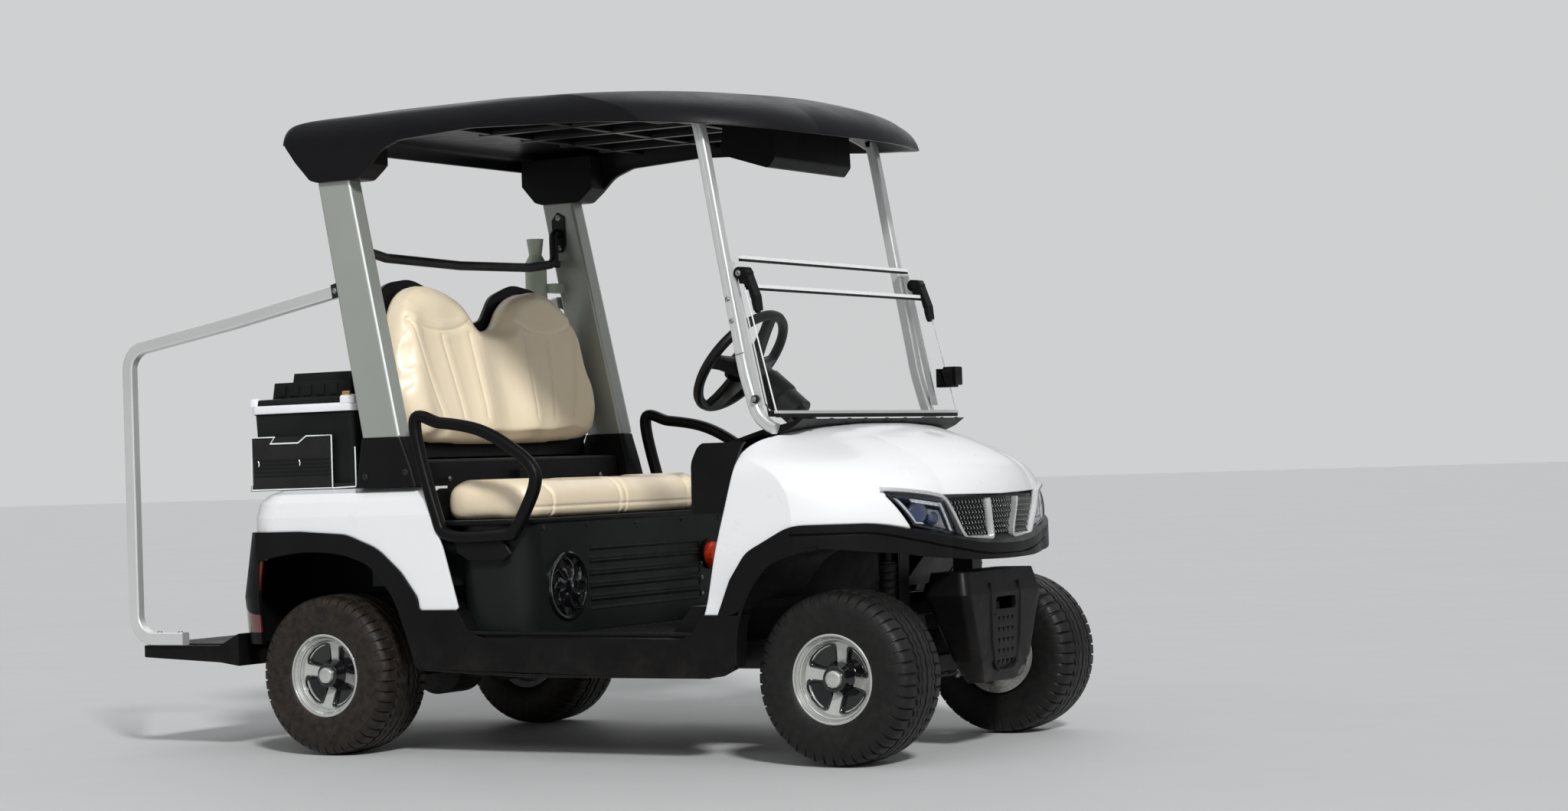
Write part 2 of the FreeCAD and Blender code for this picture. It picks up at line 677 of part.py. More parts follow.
# White front body: a loft of plan outlines, cut to the side outline and hollowed
NOSE_ROWS = [
    # z, nose, tail, half, tail_round, bow, cheek, flank
    (380.0, FRONT + 226, FRONT - 370, BODY_HALF, 6.0, 34.0, 118.0, 315.0),
    (560.0, FRONT + 226, FRONT - 370, BODY_HALF, 6.0, 34.0, 118.0, 315.0),
    (640.0, FRONT + 225, FRONT - 370, BODY_HALF - 2, 6.0, 34.0, 118.0, 315.0),
    (710.0, FRONT + 220, FRONT - 370, BODY_HALF - 6, 6.0, 38.0, 126.0, 325.0),
    (765.0, FRONT + 196, FRONT - 370, BODY_HALF - 10, 6.0, 48.0, 146.0, 345.0),
    (812.0, FRONT + 134, FRONT - 370, BODY_HALF - 24, 6.0, 60.0, 170.0, 370.0),
    (848.0, FRONT + 54, FRONT - 370, BODY_HALF - 44, 6.0, 64.0, 178.0, 355.0),
    (874.0, FRONT - 30, FRONT - 370, BODY_HALF - 66, 6.0, 58.0, 150.0, 290.0),
    (892.0, FRONT - 130, FRONT - 370, BODY_HALF - 116, 6.0, 48.0, 112.0, 190.0),
]
nose_solid = plan_loft(NOSE_ROWS)
nose_core = plan_loft(NOSE_ROWS, PANEL)
COWL_EDGE = [(-366, 397), (-262, 790), (-236, 850), (-150, 884), (-120, 905)]
panel_outline = flare_line[1:] + [(FRONT + 340, 546), (FRONT + 340, 960)] + ahead(COWL_EDGE[::-1])
panel_side = side_slab(panel_outline, -FAR / 3, FAR / 3, [0, 60, 90, 160, 300, 200, 90, 0, 0, 0, 0, 40, 60, 30, 0])
MASK_HALF = 468.0
MASK = [
    (-MASK_HALF, 716), (-404, 618), (-370, 520), (370, 520), (404, 618), (MASK_HALF, 716), (276, 694), (0, 690),
    (-276, 694),
]
mask_tool = front_slab(MASK, FRONT + 20, FRONT + 400, [14, 20, 0, 0, 20, 14, 60, 0, 60])
front_panel = nose_solid.common(panel_side)
front_shell = front_panel.cut(nose_core).cut(mask_tool)

# Headlamps and grille, set into the mask opening
mask_back = plan_loft(NOSE_ROWS, PANEL + 26)
mask_mid = plan_loft(NOSE_ROWS, PANEL - 2)
LAMP = [(-MASK_HALF + 8, 708), (-426, 656), (-384, 612), (-250, 584), (-218, 580), (-282, 684)]
GRILLE = [(-268, 686), (0, 682), (268, 686), (196, 568), (150, 556), (-150, 556), (-196, 568)]
lamp_tool = front_slab(LAMP, FRONT + 20, FRONT + 400, 12)
lamp_housing = mask_mid.cut(mask_back).common(lamp_tool).common(panel_side)
lens_tool = front_slab(LAMP, FRONT + 20, FRONT + 400, 12)
lens = nose_solid.cut(plan_loft(NOSE_ROWS, PANEL - 3)).common(lens_tool).common(panel_side)
keep("headlamps", *both(lamp_housing))
keep("lamp_lenses", *both(lens))

grille_tool = front_slab(GRILLE, FRONT + 20, FRONT + 400, 8)
grille_back = mask_mid.cut(mask_back).common(grille_tool).common(panel_side)
CELL_Y = 26.0
CELL_Z = 34.0
CELL_HALF_Y = 8.0
CELL_HALF_Z = 11.0
cells = []
for row in range(-2, 4):
    for column in range(-11, 12):
        y = (column + 0.5 * (row % 2)) * CELL_Y
        z = 620 + row * CELL_Z / 2
        if abs(y) > 150 + (z - 570) * 0.62 or z > 672:
            continue
        cell = [(y - CELL_HALF_Y, z), (y, z - CELL_HALF_Z), (y + CELL_HALF_Y, z), (y, z + CELL_HALF_Z)]
        cells.append(front_slab(cell, FRONT + 100, FRONT + 400))
keep("grille_mesh", grille_back.cut(Part.makeCompound(cells)))

U_FRAME = [(-276, 692), (-200, 566), (-53, 561), (-76, 676), (-92, 676), (-70, 578), (-190, 582), (-258, 692)]
frame_skin = plan_loft(NOSE_ROWS, -5.0).cut(plan_loft(NOSE_ROWS, PANEL - 2 - 0.3))
u_tool = front_slab(U_FRAME, FRONT + 20, FRONT + 400, [2, 14, 14, 2, 2, 8, 8, 2])
u_frames = Part.makeCompound(both(frame_skin.common(u_tool)))
keep("grille_frames", u_frames)
keep("front_flare", front_flare.cut(u_frames))

# Black cowl over the toe board, under the foot of the windshield
COWL = [(-398, 664), (-396, 800), (-372, 846), (-250, 880), (-120, 906), (-100, 886), (-150, 860), (-240, 790), (-296, 664)]
cowl = side_slab(ahead(COWL), -BODY_HALF + 12, BODY_HALF - 12, [0, 60, 40, 30, 4, 0, 0, 0, 0])
COWL_INSIDE = [(-388, 640), (-386, 795), (-364, 836), (-250, 868), (-200, 860), (-306, 640)]
cowl_inside = side_slab(ahead(COWL_INSIDE), -BODY_HALF + 24, BODY_HALF - 24, [0, 50, 30, 0, 0, 0])
COWL_TOP_HALF = 468.0
cowl_shoulder = box(0, FAR, COWL_TOP_HALF, FAR, 850, 1000)
cowl = cowl.cut(cowl_inside).cut(panel_side).cut(cowl_shoulder).cut(mirrored(cowl_shoulder))

# Floor pan with ribs, and the toe board
floor_half = TRIM_HALF - FLARE_DEPTH - 0.5
toe_x = FRONT - 372
FLOOR = [
    (430, FLOOR_TOP_Z - FLOOR_THICK), (toe_x, FLOOR_TOP_Z - FLOOR_THICK), (toe_x - 2, 418),
    (toe_x - 58, 418), (toe_x - 130, FLOOR_TOP_Z), (430, FLOOR_TOP_Z)
]
TOE_BOARD = [(toe_x - 2, 400), (toe_x - 2, 663.5), (toe_x - 14, 663.5), (toe_x - 66, 400)]
floor = side_slab(FLOOR, -floor_half, floor_half)
toe_board = side_slab(TOE_BOARD, 8 - BODY_HALF, BODY_HALF - 8)
ribs = []
RIB_PITCH = 26.0
for index in range(14):
    x = 760 + index * RIB_PITCH
    ribs.append(box(x, x + 10, -floor_half + 60, floor_half - 60, FLOOR_TOP_Z, FLOOR_TOP_Z + 4))
floor_pan = joined([floor, toe_board] + ribs).cut(rockers)
keep("floor_pan", floor_pan)

# White rear body
TAIL_ROWS = [
    # z, nose, tail, half, tail_round, bow, cheek, flank
    (400.0, 640.0, -286.0, BODY_HALF, 120.0, 1.0, 4.0, 20.0),
    (680.0, 640.0, -286.0, BODY_HALF, 120.0, 1.0, 4.0, 20.0),
    (722.0, 634.0, -276.0, BODY_HALF - 8, 118.0, 1.0, 4.0, 20.0),
    (746.0, 620.0, -252.0, BODY_HALF - 28, 108.0, 1.0, 4.0, 20.0),
    (DECK_Z, 600.0, -220.0, BODY_HALF - 56, 96.0, 1.0, 4.0, 20.0),
]
tail_solid = plan_loft(TAIL_ROWS, ruled=True)
tail_core = plan_loft(TAIL_ROWS, PANEL, ruled=True)
tail_outline = REAR_TOP[:7] + [(488, 414.5), (440, 584), (391, 705), (379, 900), (-400, 900), (-400, 640)]
tail_side = side_slab(tail_outline, -FAR / 3, FAR / 3, [0, 40, 140, 160, 120, 40, 12, 8, 120, 60, 0, 0, 0])
WELL_HALF = 300.0
WELL_REAR = -274.0
well_cut = box(-FAR / 3, 128, -WELL_HALF, WELL_HALF, 300, 900)
tail_shell = tail_solid.common(tail_side).cut(tail_core)
seat_gap_cut = box(128, 900, -500, 500, 300, 900)
tail_shell = tail_shell.cut(well_cut).cut(seat_gap_cut)
tail_panel = tail_solid.common(tail_side)
keep("rear_body", tail_shell)

# Bag well liner between the rear wings
well_parts = [
    box(WELL_REAR, 128, -WELL_HALF, WELL_HALF, 452, 462),
    box(118, 128, -WELL_HALF, WELL_HALF, 452, DECK_Z - 6),
    box(WELL_REAR, 128, -WELL_HALF, -WELL_HALF + 10, 452, DECK_Z - 10),
    box(WELL_REAR, 128, WELL_HALF - 10, WELL_HALF, 452, DECK_Z - 10),
]
for index in range(7):
    y = -210 + index * 70
    well_parts.append(box(WELL_REAR + 10, 100, y - 6, y + 6, 462, 468))
keep("bag_well", joined(well_parts))

# Rear bumper
BUMPER_ROWS = [
    # z, nose, tail, half, tail_round, bow, cheek, flank
    (318.0, 200.0, -328.0, TRIM_HALF - 16, 120.0, 1.0, 4.0, 20.0),
    (452.0, 200.0, -338.0, TRIM_HALF - 8, 120.0, 1.0, 4.0, 20.0),
    (640.0, 200.0, -304.0, TRIM_HALF - 8, 120.0, 1.0, 4.0, 20.0),
]
bumper = plan_loft(BUMPER_ROWS, ruled=True)
bumper = bumper.cut(plan_loft([(300.0,) + BUMPER_ROWS[0][1:], BUMPER_ROWS[1], (660.0,) + BUMPER_ROWS[2][1:]], 14.0, ruled=True))
bumper = bumper.common(box(-FAR / 3, -222.5, -FAR / 3, FAR / 3, 318, 640))
tail_lamp = box(-348, -308, 392, 520, 540, 590)
tail_lamps = Part.makeCompound(both(tail_lamp.common(plan_loft(BUMPER_ROWS, ruled=True))))
bumper = bumper.cut(tail_solid).cut(tail_lamps)
keep("rear_bumper", bumper)
keep("tail_lamps", tail_lamps)

# Seat base with louvres, speaker opening and charge socket
SEAT_ROWS = [
    (FLOOR_TOP_Z + 0.3, 440, 690, -560, 560),
    (SEAT_BASE_Z, 440, 690, -572, 572),
]
base_face = 690.0
base_solid = level_loft(SEAT_ROWS, 90)
base_rear = box(128.3, 470, -520, 520, FLOOR_TOP_Z + 140, SEAT_BASE_Z)
base = base_solid.fuse(base_rear)
base = base.cut(level_loft([(FLOOR_TOP_Z - 5, 452, 688, -548, 548), (SEAT_BASE_Z - 10, 452, 678, -560, 560)], 80))
base = base.cut(box(148, 500, -508, 508, FLOOR_TOP_Z + 100, SEAT_BASE_Z - 10))
LOUVRES = 5
LOUVRE_PITCH = 36.0
for index in range(LOUVRES):
    z = 396 + index * LOUVRE_PITCH
    slot = [(base_face + 20, z), (base_face - 2, z + 4), (base_face - 2, z + 22), (base_face + 20, z + 30)]
    base = base.cut(side_slab(slot, -248, 340, 3))
SPEAKER_Y = -362.0
SPEAKER_Z = 468.0
SPEAKER_RADIUS = 95.0
CAP_Y = 392.0
CAP_Z = 525.0
CAP_OUTER_RADIUS = 37.0
base = base.cut(rod(vec(base_face - 40, SPEAKER_Y, SPEAKER_Z), vec(base_face + 40, SPEAKER_Y, SPEAKER_Z), SPEAKER_RADIUS + 0.5))
keep("seat_base", base.cut(rockers).cut(tail_shell))

speaker = rod(vec(base_face - 14, SPEAKER_Y, SPEAKER_Z), vec(base_face + 6, SPEAKER_Y, SPEAKER_Z), SPEAKER_RADIUS)
speaker = speaker.cut(rod(vec(base_face - 2, SPEAKER_Y, SPEAKER_Z), vec(base_face + 8, SPEAKER_Y, SPEAKER_Z), SPEAKER_RADIUS - 12))
BLADES = 7
blades = [rod(vec(base_face - 4, SPEAKER_Y, SPEAKER_Z), vec(base_face + 8, SPEAKER_Y, SPEAKER_Z), 17)]
for index in range(BLADES):
    blade = front_slab([(10, -4), (48, 14), (84, 6), (84, 22), (44, 30), (8, 8)], base_face - 4, base_face + 5, [0, 12, 2, 2, 12, 0])
    blade.rotate(vec(0, 0, 0), X_AXIS, 360 / BLADES * index)
    blade.translate(vec(0, SPEAKER_Y, SPEAKER_Z))
    blades.append(blade)
keep("speaker_cover", joined([speaker] + blades))

cap_foot = base_face + 0.3
charge_cap = rod(vec(cap_foot, CAP_Y, CAP_Z), vec(cap_foot + 18, CAP_Y, CAP_Z), CAP_OUTER_RADIUS)
cap_face = Part.makeCone(CAP_OUTER_RADIUS, CAP_OUTER_RADIUS - 7, 7, vec(cap_foot + 18, CAP_Y, CAP_Z), X_AXIS)
charge_cap = charge_cap.fuse(cap_face)
keep("charge_cap", charge_cap)
keep("battery_pack", box(470, 650, -300, 300, FLOOR_TOP_Z + SEAT_GAP, FLOOR_TOP_Z + 230))

# Cushions, plain closed solids
cushion = plan_slab(
    [(SEAT_REAR, -SEAT_HALF), (SEAT_FRONT, -SEAT_HALF), (SEAT_FRONT, SEAT_HALF), (SEAT_REAR, SEAT_HALF)],
    CUSHION_BOTTOM_Z,
    CUSHION_BOTTOM_Z + CUSHION_HEIGHT,
    [40, 110, 110, 40],
)
cushion = softened(cushion, 34, lambda e: e.CenterOfMass.z > CUSHION_BOTTOM_Z + CUSHION_HEIGHT - 1)
keep("seat_cushion", cushion)

BACK_OUTLINE = [
    (-440, 0), (-515, 60), (-545, 190), (-500, 400), (-400, 510), (-264, 528), (-140, 490), (-60, 412), (0, 398),
    (60, 412), (140, 490), (264, 528), (400, 510), (500, 400), (545, 190), (515, 60), (440, 0)
]
BACK_RADII = [60, 70, 160, 160, 120, 150, 110, 80, 60, 80, 110, 150, 120, 160, 160, 70, 60]


def lean(shape):
    shape.rotate(vec(0, 0, 0), Y_AXIS, -BACK_LEAN)
    shape.translate(vec(BACK_FOOT_X, 0, BACK_FOOT_Z))
    return shape


back = front_slab([(y * BACK_SPREAD, z) for y, z in BACK_OUTLINE], -BACK_THICK, 0, BACK_RADII)
back_shell = front_slab(
    [(y * SHELL_SPREAD, z * 1.02 - 4) for y, z in BACK_OUTLINE], -BACK_THICK - BACK_SHELL, -BACK_THICK - SEAT_GAP, BACK_RADII
)
keep("seat_back", lean(back))

SUPPORT = [(136, SEAT_BASE_Z + 0.3), (316, SEAT_BASE_Z + 0.3), (308, 700), (296, 834), (184, 836), (177, 900), (150, 900)]
support = side_slab(SUPPORT, -498, 498, [0, 4, 20, 12, 0, 0, 10])
support = support.cut(side_slab([(144, 600), (304, 600), (298, 700), (287, 826), (160, 826)], -490, 490))
backrest = lean(back_shell)

# Struts of the roof, their black feet, and the moulded armrests
STRUT_ROWS = [
    # z, x0, x1, y0, y1
    (STRUT_FOOT_Z, 164, 295, 595 - STRUT_THICK, 595),
    (STRUT_HEAD_Z, 20, 134, 588 - STRUT_THICK, 588),
]
strut = level_loft(STRUT_ROWS, 9)
keep("roof_struts", *both(strut))
FOOT_ROWS = [
    (DECK_Z + 0.5, 128, 345, 500, 590),
    (DECK_Z + 60, 142, 328, 518, 592),
    (STRUT_FOOT_Z - 0.5, 160, 299, 533, 598),
]
foot = level_loft(FOOT_ROWS, 12)
keep("strut_feet", *both(foot))

ARM_OUTER = [(330, 955), (433, 955), (560, 933), (660, 890), (765, 815), (768, 745), (690, 612), (655, 600), (447, 604), (392, 690)]
ARM_INNER = [(368, 915), (440, 918), (550, 898), (640, 858), (722, 800), (726, 755), (664, 648), (640, 638), (470, 640), (432, 700)]
arm = side_slab(ARM_OUTER, 574, TRIM_HALF - 0.5, [16, 60, 80, 80, 50, 50, 40, 30, 50, 60])
arm = arm.cut(side_slab(ARM_INNER, 500, 700, [20, 60, 80, 80, 34, 34, 26, 20, 30, 50]))
arm = arm.cut(tail_panel).cut(rocker_left)
keep("armrests", *both(arm))

# Backrest shell with its carrier plate
keep("backrest_shell", joined([backrest, support]))

# Roof: a loft of plan outlines, cut to its curved lower edge and hollowed
ROOF_ROWS = [
    # z, nose, tail, half, tail_round, bow, cheek, flank
    (1600.0, 1552.0, -94.0, ROOF_HALF - 8, 32.0, 55.0, 165.0, 400.0),
    (1700.0, 1546.0, -98.0, ROOF_HALF - 4, 32.0, 55.0, 165.0, 400.0),
    (1745.0, 1502.0, -98.0, ROOF_HALF - 2, 32.0, 57.0, 168.0, 400.0),
    (1776.0, 1428.0, -94.0, ROOF_HALF - 6, 36.0, 60.0, 172.0, 400.0),
    (1802.0, 1332.0, -80.0, ROOF_HALF - 20, 44.0, 62.0, 176.0, 400.0),
    (1817.0, 1180.0, 60.0, ROOF_HALF - 50, 60.0, 62.0, 176.0, 400.0),
    (1829.0, 1010.0, 200.0, ROOF_HALF - 104, 80.0, 56.0, 160.0, 380.0),
    (1838.0, 860.0, 300.0, ROOF_HALF - 190, 80.0, 40.0, 120.0, 280.0),
    (1844.0, 700.0, 400.0, ROOF_HALF - 310, 60.0, 24.0, 74.0, 150.0),
]
ROOF_EDGE = [
    (-200, 1752), (-78, 1748), (-40, 1694), (8, 1640), (34, 1632), (176, 1632), (212, 1660), (262, 1706),
    (330, 1730), (579, 1743), (969, 1727), (1317, 1698), (1600, 1662), (1700, 1656), (1700, 2000), (-200, 2000),
]
roof_solid = plan_loft(ROOF_ROWS)
roof_edge = side_slab(ROOF_EDGE, -FAR / 3, FAR / 3, [0, 10, 60, 20, 20, 30, 60, 90, 60, 300, 600, 400, 0, 0, 0, 0])
roof_core = plan_loft(ROOF_ROWS, ROOF_WALL)
EAR_DEPTH = 92.0
ear_zone = box(-40, 225, -FAR / 3, FAR / 3, 1500, 1775).cut(
    box(-60, 225, EAR_DEPTH - ROOF_HALF, ROOF_HALF - EAR_DEPTH, 1500, 1775)
)
roof_hollow = roof_core.cut(ear_zone).cut(box(-FAR, 300, -FAR / 3, FAR / 3, 1796, 2000))
ear_open = box(-FAR / 3, 300, EAR_DEPTH - ROOF_HALF, ROOF_HALF - EAR_DEPTH, 1500, 1742)
roof = roof_solid.common(roof_edge).cut(roof_hollow).cut(ear_open)
roof_ribs = []
for x in ROOF_RIBS:
    rib = box(x, x + 22, -ROOF_HALF, ROOF_HALF, ROOF_RIB_FOOT, 1900).common(plan_loft(ROOF_ROWS, ROOF_WALL - 2))
    roof_ribs.append(rib)
roof = joined([roof] + roof_ribs)
roof = roof.cut(strut).cut(mirrored(strut))

# Front posts
post_foot_x = FRONT - 224.0
post_foot_z = 905.0
POST_RUN = 790.0
rake = math.tan(math.radians(POST_RAKE))
post_head_x = post_foot_x - rake * POST_RUN
POST_ROUTE = [
    (post_foot_x + 70, post_foot_z - 34),
    (post_foot_x + rake * 4, post_foot_z - 4),
    (post_head_x, post_foot_z + POST_RUN),
    (post_head_x - 70, post_foot_z + POST_RUN + 60),
]
post = bar([vec(x, POST_Y, z) for x, z in POST_ROUTE], POST_BEND, POST_DEPTH, POST_WIDTH, POST_CORNER)
post_clear = bar(
    [vec(x, POST_Y, z) for x, z in POST_ROUTE],
    POST_BEND,
    POST_DEPTH + 2 * SEAT_GAP,
    POST_WIDTH + 2 * SEAT_GAP,
    POST_CORNER,
)
for cut_tool in both(post_clear):
    cowl = cowl.cut(cut_tool)
    front_shell = front_shell.cut(cut_tool)
keep("front_body", front_shell)
keep("windshield_posts", *both(post))
for cut_tool in both(post):
    roof = roof.cut(cut_tool)
keep("roof", roof)

# Windshield: lower pane on the posts, upper pane folded down in front of it
pane_ahead = POST_DEPTH / 2 / math.cos(math.radians(POST_RAKE)) + SEAT_GAP
LOWER_TOP_Z = 1343.0
LOWER_FOOT_Z = 926.0
LOWER_HALF = POST_Y + POST_WIDTH / 2 - 4


def pane_x(z):
    return post_foot_x + pane_ahead - rake * (z - post_foot_z)


def pane(x_foot, z_foot, x_head, z_head, half, thick):
    outline = [(x_foot, z_foot), (x_foot + thick, z_foot), (x_head + thick, z_head), (x_head, z_head)]
    return side_slab(outline, -half, half)


lower = pane(pane_x(LOWER_FOOT_Z), LOWER_FOOT_Z, pane_x(LOWER_TOP_Z), LOWER_TOP_Z, LOWER_HALF, GLASS)
keep("windshield_lower", lower)
UPPER_HALF = 518.0
upper_head = (1392.0, 1262.0)
upper_foot = (1478.0, 921.0)
upper = pane(upper_foot[0], upper_foot[1], upper_head[0], upper_head[1], UPPER_HALF, GLASS)
keep("windshield_upper", upper)
clips = []
for side in (1, -1):
    y_in = min(side * (POST_Y + 22), side * (POST_Y - 12))
    y_out = max(side * (POST_Y + 22), side * (POST_Y - 12))
    z_clip = 1290.0
    foot_x = pane_x(z_clip) + GLASS + SEAT_GAP
    clip_top = (pane_x(z_clip + 22) + GLASS + SEAT_GAP, z_clip + 22)
    clip_foot = (pane_x(z_clip - 22) + GLASS + SEAT_GAP, z_clip - 22)
    clip = side_slab(
        [clip_top, (foot_x + 22, z_clip + 24), (1420, 1236), (1424, 1196), (1408.5, 1196), (1408, 1226), (foot_x + 16, z_clip - 18), clip_foot],
        y_in,
        y_out,
        [4, 8, 20, 4, 4, 20, 8, 4],
    )
    clips.append(clip.cut(upper))
latch_x = upper_foot[0] - (upper_foot[0] - upper_head[0]) * (LATCH_Z - upper_foot[1]) / (upper_head[1] - upper_foot[1])
latch = box(latch_x - 20, latch_x + 30, UPPER_HALF - 30, UPPER_HALF + 14, LATCH_Z - 28, LATCH_Z + 26)
clips.append(latch.cut(upper))
keep("windshield_clips", *clips)

# Overhead console under the front of the roof
console = side_slab([(1150, 1650), (1300, 1602), (1322, 1628), (1316, 1850), (1170, 1870)], -CONSOLE_HALF, CONSOLE_HALF, [20, 12, 12, 0, 0])
console = console.common(roof_core)
keep("overhead_console", console)

# Grab bar between the struts behind the seats
GRAB_Z = 1430.0
grab_end_y = 530.0
grab_x = 118.0
strut_inner = (595 - STRUT_THICK) - (GRAB_Z + 90 - STRUT_FOOT_Z) / (STRUT_HEAD_Z - STRUT_FOOT_Z) * 7
grab_points = [
    vec(grab_x - 30, -strut_inner + 0.5, GRAB_Z + 108), vec(grab_x - 30, -strut_inner + 34, GRAB_Z + 108),
    vec(grab_x - 18, -strut_inner + 50, GRAB_Z + 10), vec(grab_x - 30, -360, GRAB_Z - 6), vec(grab_x - 30, 0, GRAB_Z - 14),
]
grab_points += [vec(p.x, -p.y, p.z) for p in grab_points[-2::-1]]
keep("grab_bar", pipe(grab_points, 34, 14).cut(strut).cut(mirrored(strut)))

# Rear rails and the standing board
rail_x = RAIL_TUBE / 2 - RAIL_REACH
rail_foot_z = BOARD_TOP_Z + RAIL_TUBE / 2
RAIL_ROUTE = [(62, 1322), (-190, 1276), (-316, 1253), (rail_x, 1188), (rail_x, rail_foot_z), (-540, rail_foot_z)]
rail = bar([vec(x, RAIL_TUBE_Y, z) for x, z in RAIL_ROUTE], RAIL_BEND, RAIL_TUBE, RAIL_TUBE - 8, RAIL_CORNER)
keep("rear_rails", *[piece.cut(strut).cut(mirrored(strut)) for piece in both(rail)])
BOARD = [(-702, 276), (-702, BOARD_TOP_Z - 0.5), (-410, BOARD_TOP_Z - 0.5), (-340, 346), (-340, 252), (-410, 262)]
board = side_slab(BOARD, -560, 560, [4, 4, 20, 0, 0, 20])
board = board.cut(side_slab([(-692, 270), (-692, 300), (-420, 300), (-410, 270)], -550, 550))
mat_top = BOARD_TOP_Z - 0.5 + BOARD_MAT_RISE
mat = box(-698, -416, -BOARD_MAT_HALF, BOARD_MAT_HALF, BOARD_TOP_Z - 1, mat_top)
board = board.fuse(mat).removeSplitter()
for x in range(BOARD_SLOT_FIRST, BOARD_SLOT_LAST, BOARD_SLOT_PITCH):
    board = board.cut(box(x, x + 8, 15 - BOARD_MAT_HALF, BOARD_MAT_HALF - 15, mat_top - 3, mat_top + 3))
brackets = [
    box(-340, -250, side * RAIL_Y - 24, side * RAIL_Y + 24, 262, KICK_Z - RAIL_DEPTH / 2 - SEAT_GAP)
    for side in (1, -1)
]
keep("step_board", joined([board] + brackets).cut(bumper))

# Cooler, its lid and its rack
cx0 = COOLER_X - COOLER_LENGTH / 2
cx1 = COOLER_X + COOLER_LENGTH / 2
cy0 = COOLER_Y - COOLER_WIDTH / 2
cy1 = COOLER_Y + COOLER_WIDTH / 2
cooler_top = COOLER_FOOT_Z + COOLER_HEIGHT
cooler = level_loft([(COOLER_FOOT_Z, cx0 + 8, cx1 - 8, cy0 + 6, cy1 - 6), (cooler_top, cx0, cx1, cy0, cy1)], 22)
cooler = cooler.cut(box(cx0 + COOLER_WALL, cx1 - COOLER_WALL, cy0 + COOLER_WALL, cy1 - COOLER_WALL, COOLER_FOOT_Z + COOLER_WALL, cooler_top + 10))
keep("cooler_body", cooler)
lid_foot = cooler_top + RUNNING_GAP
lid = level_loft([(lid_foot, cx0 - 4, cx1 + 4, cy0 - 4, cy1 + 4), (lid_foot + LID_HEIGHT, cx0, cx1, cy0, cy1)], 24)
tray = level_loft([(lid_foot + LID_HEIGHT, cx0 + 32, cx1 - 40, cy0 + 40, cy1 - 40), (lid_foot + LID_HEIGHT + 50, cx0 + 38, cx1 - 40, cy0 + 44, cy1 - 44)], 20)
tray_top = level_loft([(lid_foot + LID_HEIGHT + 50, cx0 + 96, cx1 - 50, cy0 + 60, cy1 - 60), (lid_foot + LID_HEIGHT + 76, cx0 + 100, cx1 - 52, cy0 + 62, cy1 - 62)], 16)
keep("cooler_lid", joined([lid, tray, tray_top]))
rack = box(cx0 - 8, cx1 + 8, cy0 - 8, cy1 + 8, DECK_Z + 0.5, COOLER_FOOT_Z - 0.5)
rack = rack.fuse(box(cx0 + 4, cx1 - 74, cy0 - 12, cy0 - 5, DECK_Z + 0.5, COOLER_FOOT_Z + 138))
keep("cooler_rack", rack)

# Bag rest behind the seat back
REST = [(-110, -236), (139, -236), (139, 236), (-110, 236), (-110, 200), (-10, 170), (-10, 40), (-110, 14), (-110, -14), (-10, -40), (-10, -170), (-110, -200)]
holder = plan_slab(REST, 1040, 1076, [14, 6, 6, 14, 14, 50, 50, 10, 10, 50, 50, 14])
keep("bag_rest", holder.cut(backrest))

bottle = rod(vec(BOTTLE_X, BOTTLE_Y, BOTTLE_FOOT_Z), vec(BOTTLE_X, BOTTLE_Y, BOTTLE_FOOT_Z + 130), BOTTLE_RADIUS)
shoulder = Part.makeCone(BOTTLE_RADIUS, 20, 26, vec(BOTTLE_X, BOTTLE_Y, BOTTLE_FOOT_Z + 130))
mouth = Part.makeCone(20, 27, 50, vec(BOTTLE_X, BOTTLE_Y, BOTTLE_FOOT_Z + 156))
arm_z = BOTTLE_FOOT_Z + 36
bottle_arm = box(BOTTLE_X + 20, 100, BOTTLE_Y + 10, 560, arm_z, arm_z + 28).cut(strut)
bottle = joined([bottle, shoulder, mouth, bottle_arm])
keep("sand_bottle", bottle)

# Nose guard below the bumper
GUARD_CORNER = 26.0
GUARD_ROWS = [
    # z, x0, x1, y0, y1
    (184, FRONT + 142, FRONT + 198, -112, 112),
    (246, FRONT + 136, FRONT + GUARD_FACE, -166, 166),
    (424, FRONT + 90, FRONT + GUARD_FACE + 2 * GUARD_SWELL, -230, 230),
    (484, FRONT + 100, FRONT + 212, -212, 212),
]
guard = level_loft(GUARD_ROWS, GUARD_CORNER)
hollow = []
for z, x0, x1, y0, y1 in GUARD_ROWS:
    hollow.append((z, x0 - 10, x1 - GUARD_WALL, y0 + GUARD_WALL, y1 - GUARD_WALL))
hollow[0] = (hollow[0][0] - GUARD_WALL,) + hollow[0][1:]
hollow[-1] = (hollow[-1][0] - GUARD_WALL,) + hollow[-1][1:]
guard = guard.cut(level_loft(hollow, GUARD_CORNER - 6))
for index in range(GUARD_SLOTS):
    y = (index - (GUARD_SLOTS - 1) / 2) * GUARD_SLOT_PITCH
    guard = guard.cut(box(FRONT + 130, FRONT + 196, y - 5, y + 5, 484 - GUARD_WALL - 2, 490))
handle = front_slab([(-62, 378), (62, 378), (58, 412), (-58, 412)], FRONT + 150, FRONT + 240, 8)
guard = guard.cut(handle)
for row in range(GUARD_HOLE_ROWS):
    for column in range(4):
        y = (column - 1.5) * 27
        z = 350 - row * 29
        hole = front_slab([(y - 8, z + 8), (y + 8, z + 8), (y, z - 10)], FRONT + 150, FRONT + 240)
        guard = guard.cut(hole)
keep("nose_guard", guard)

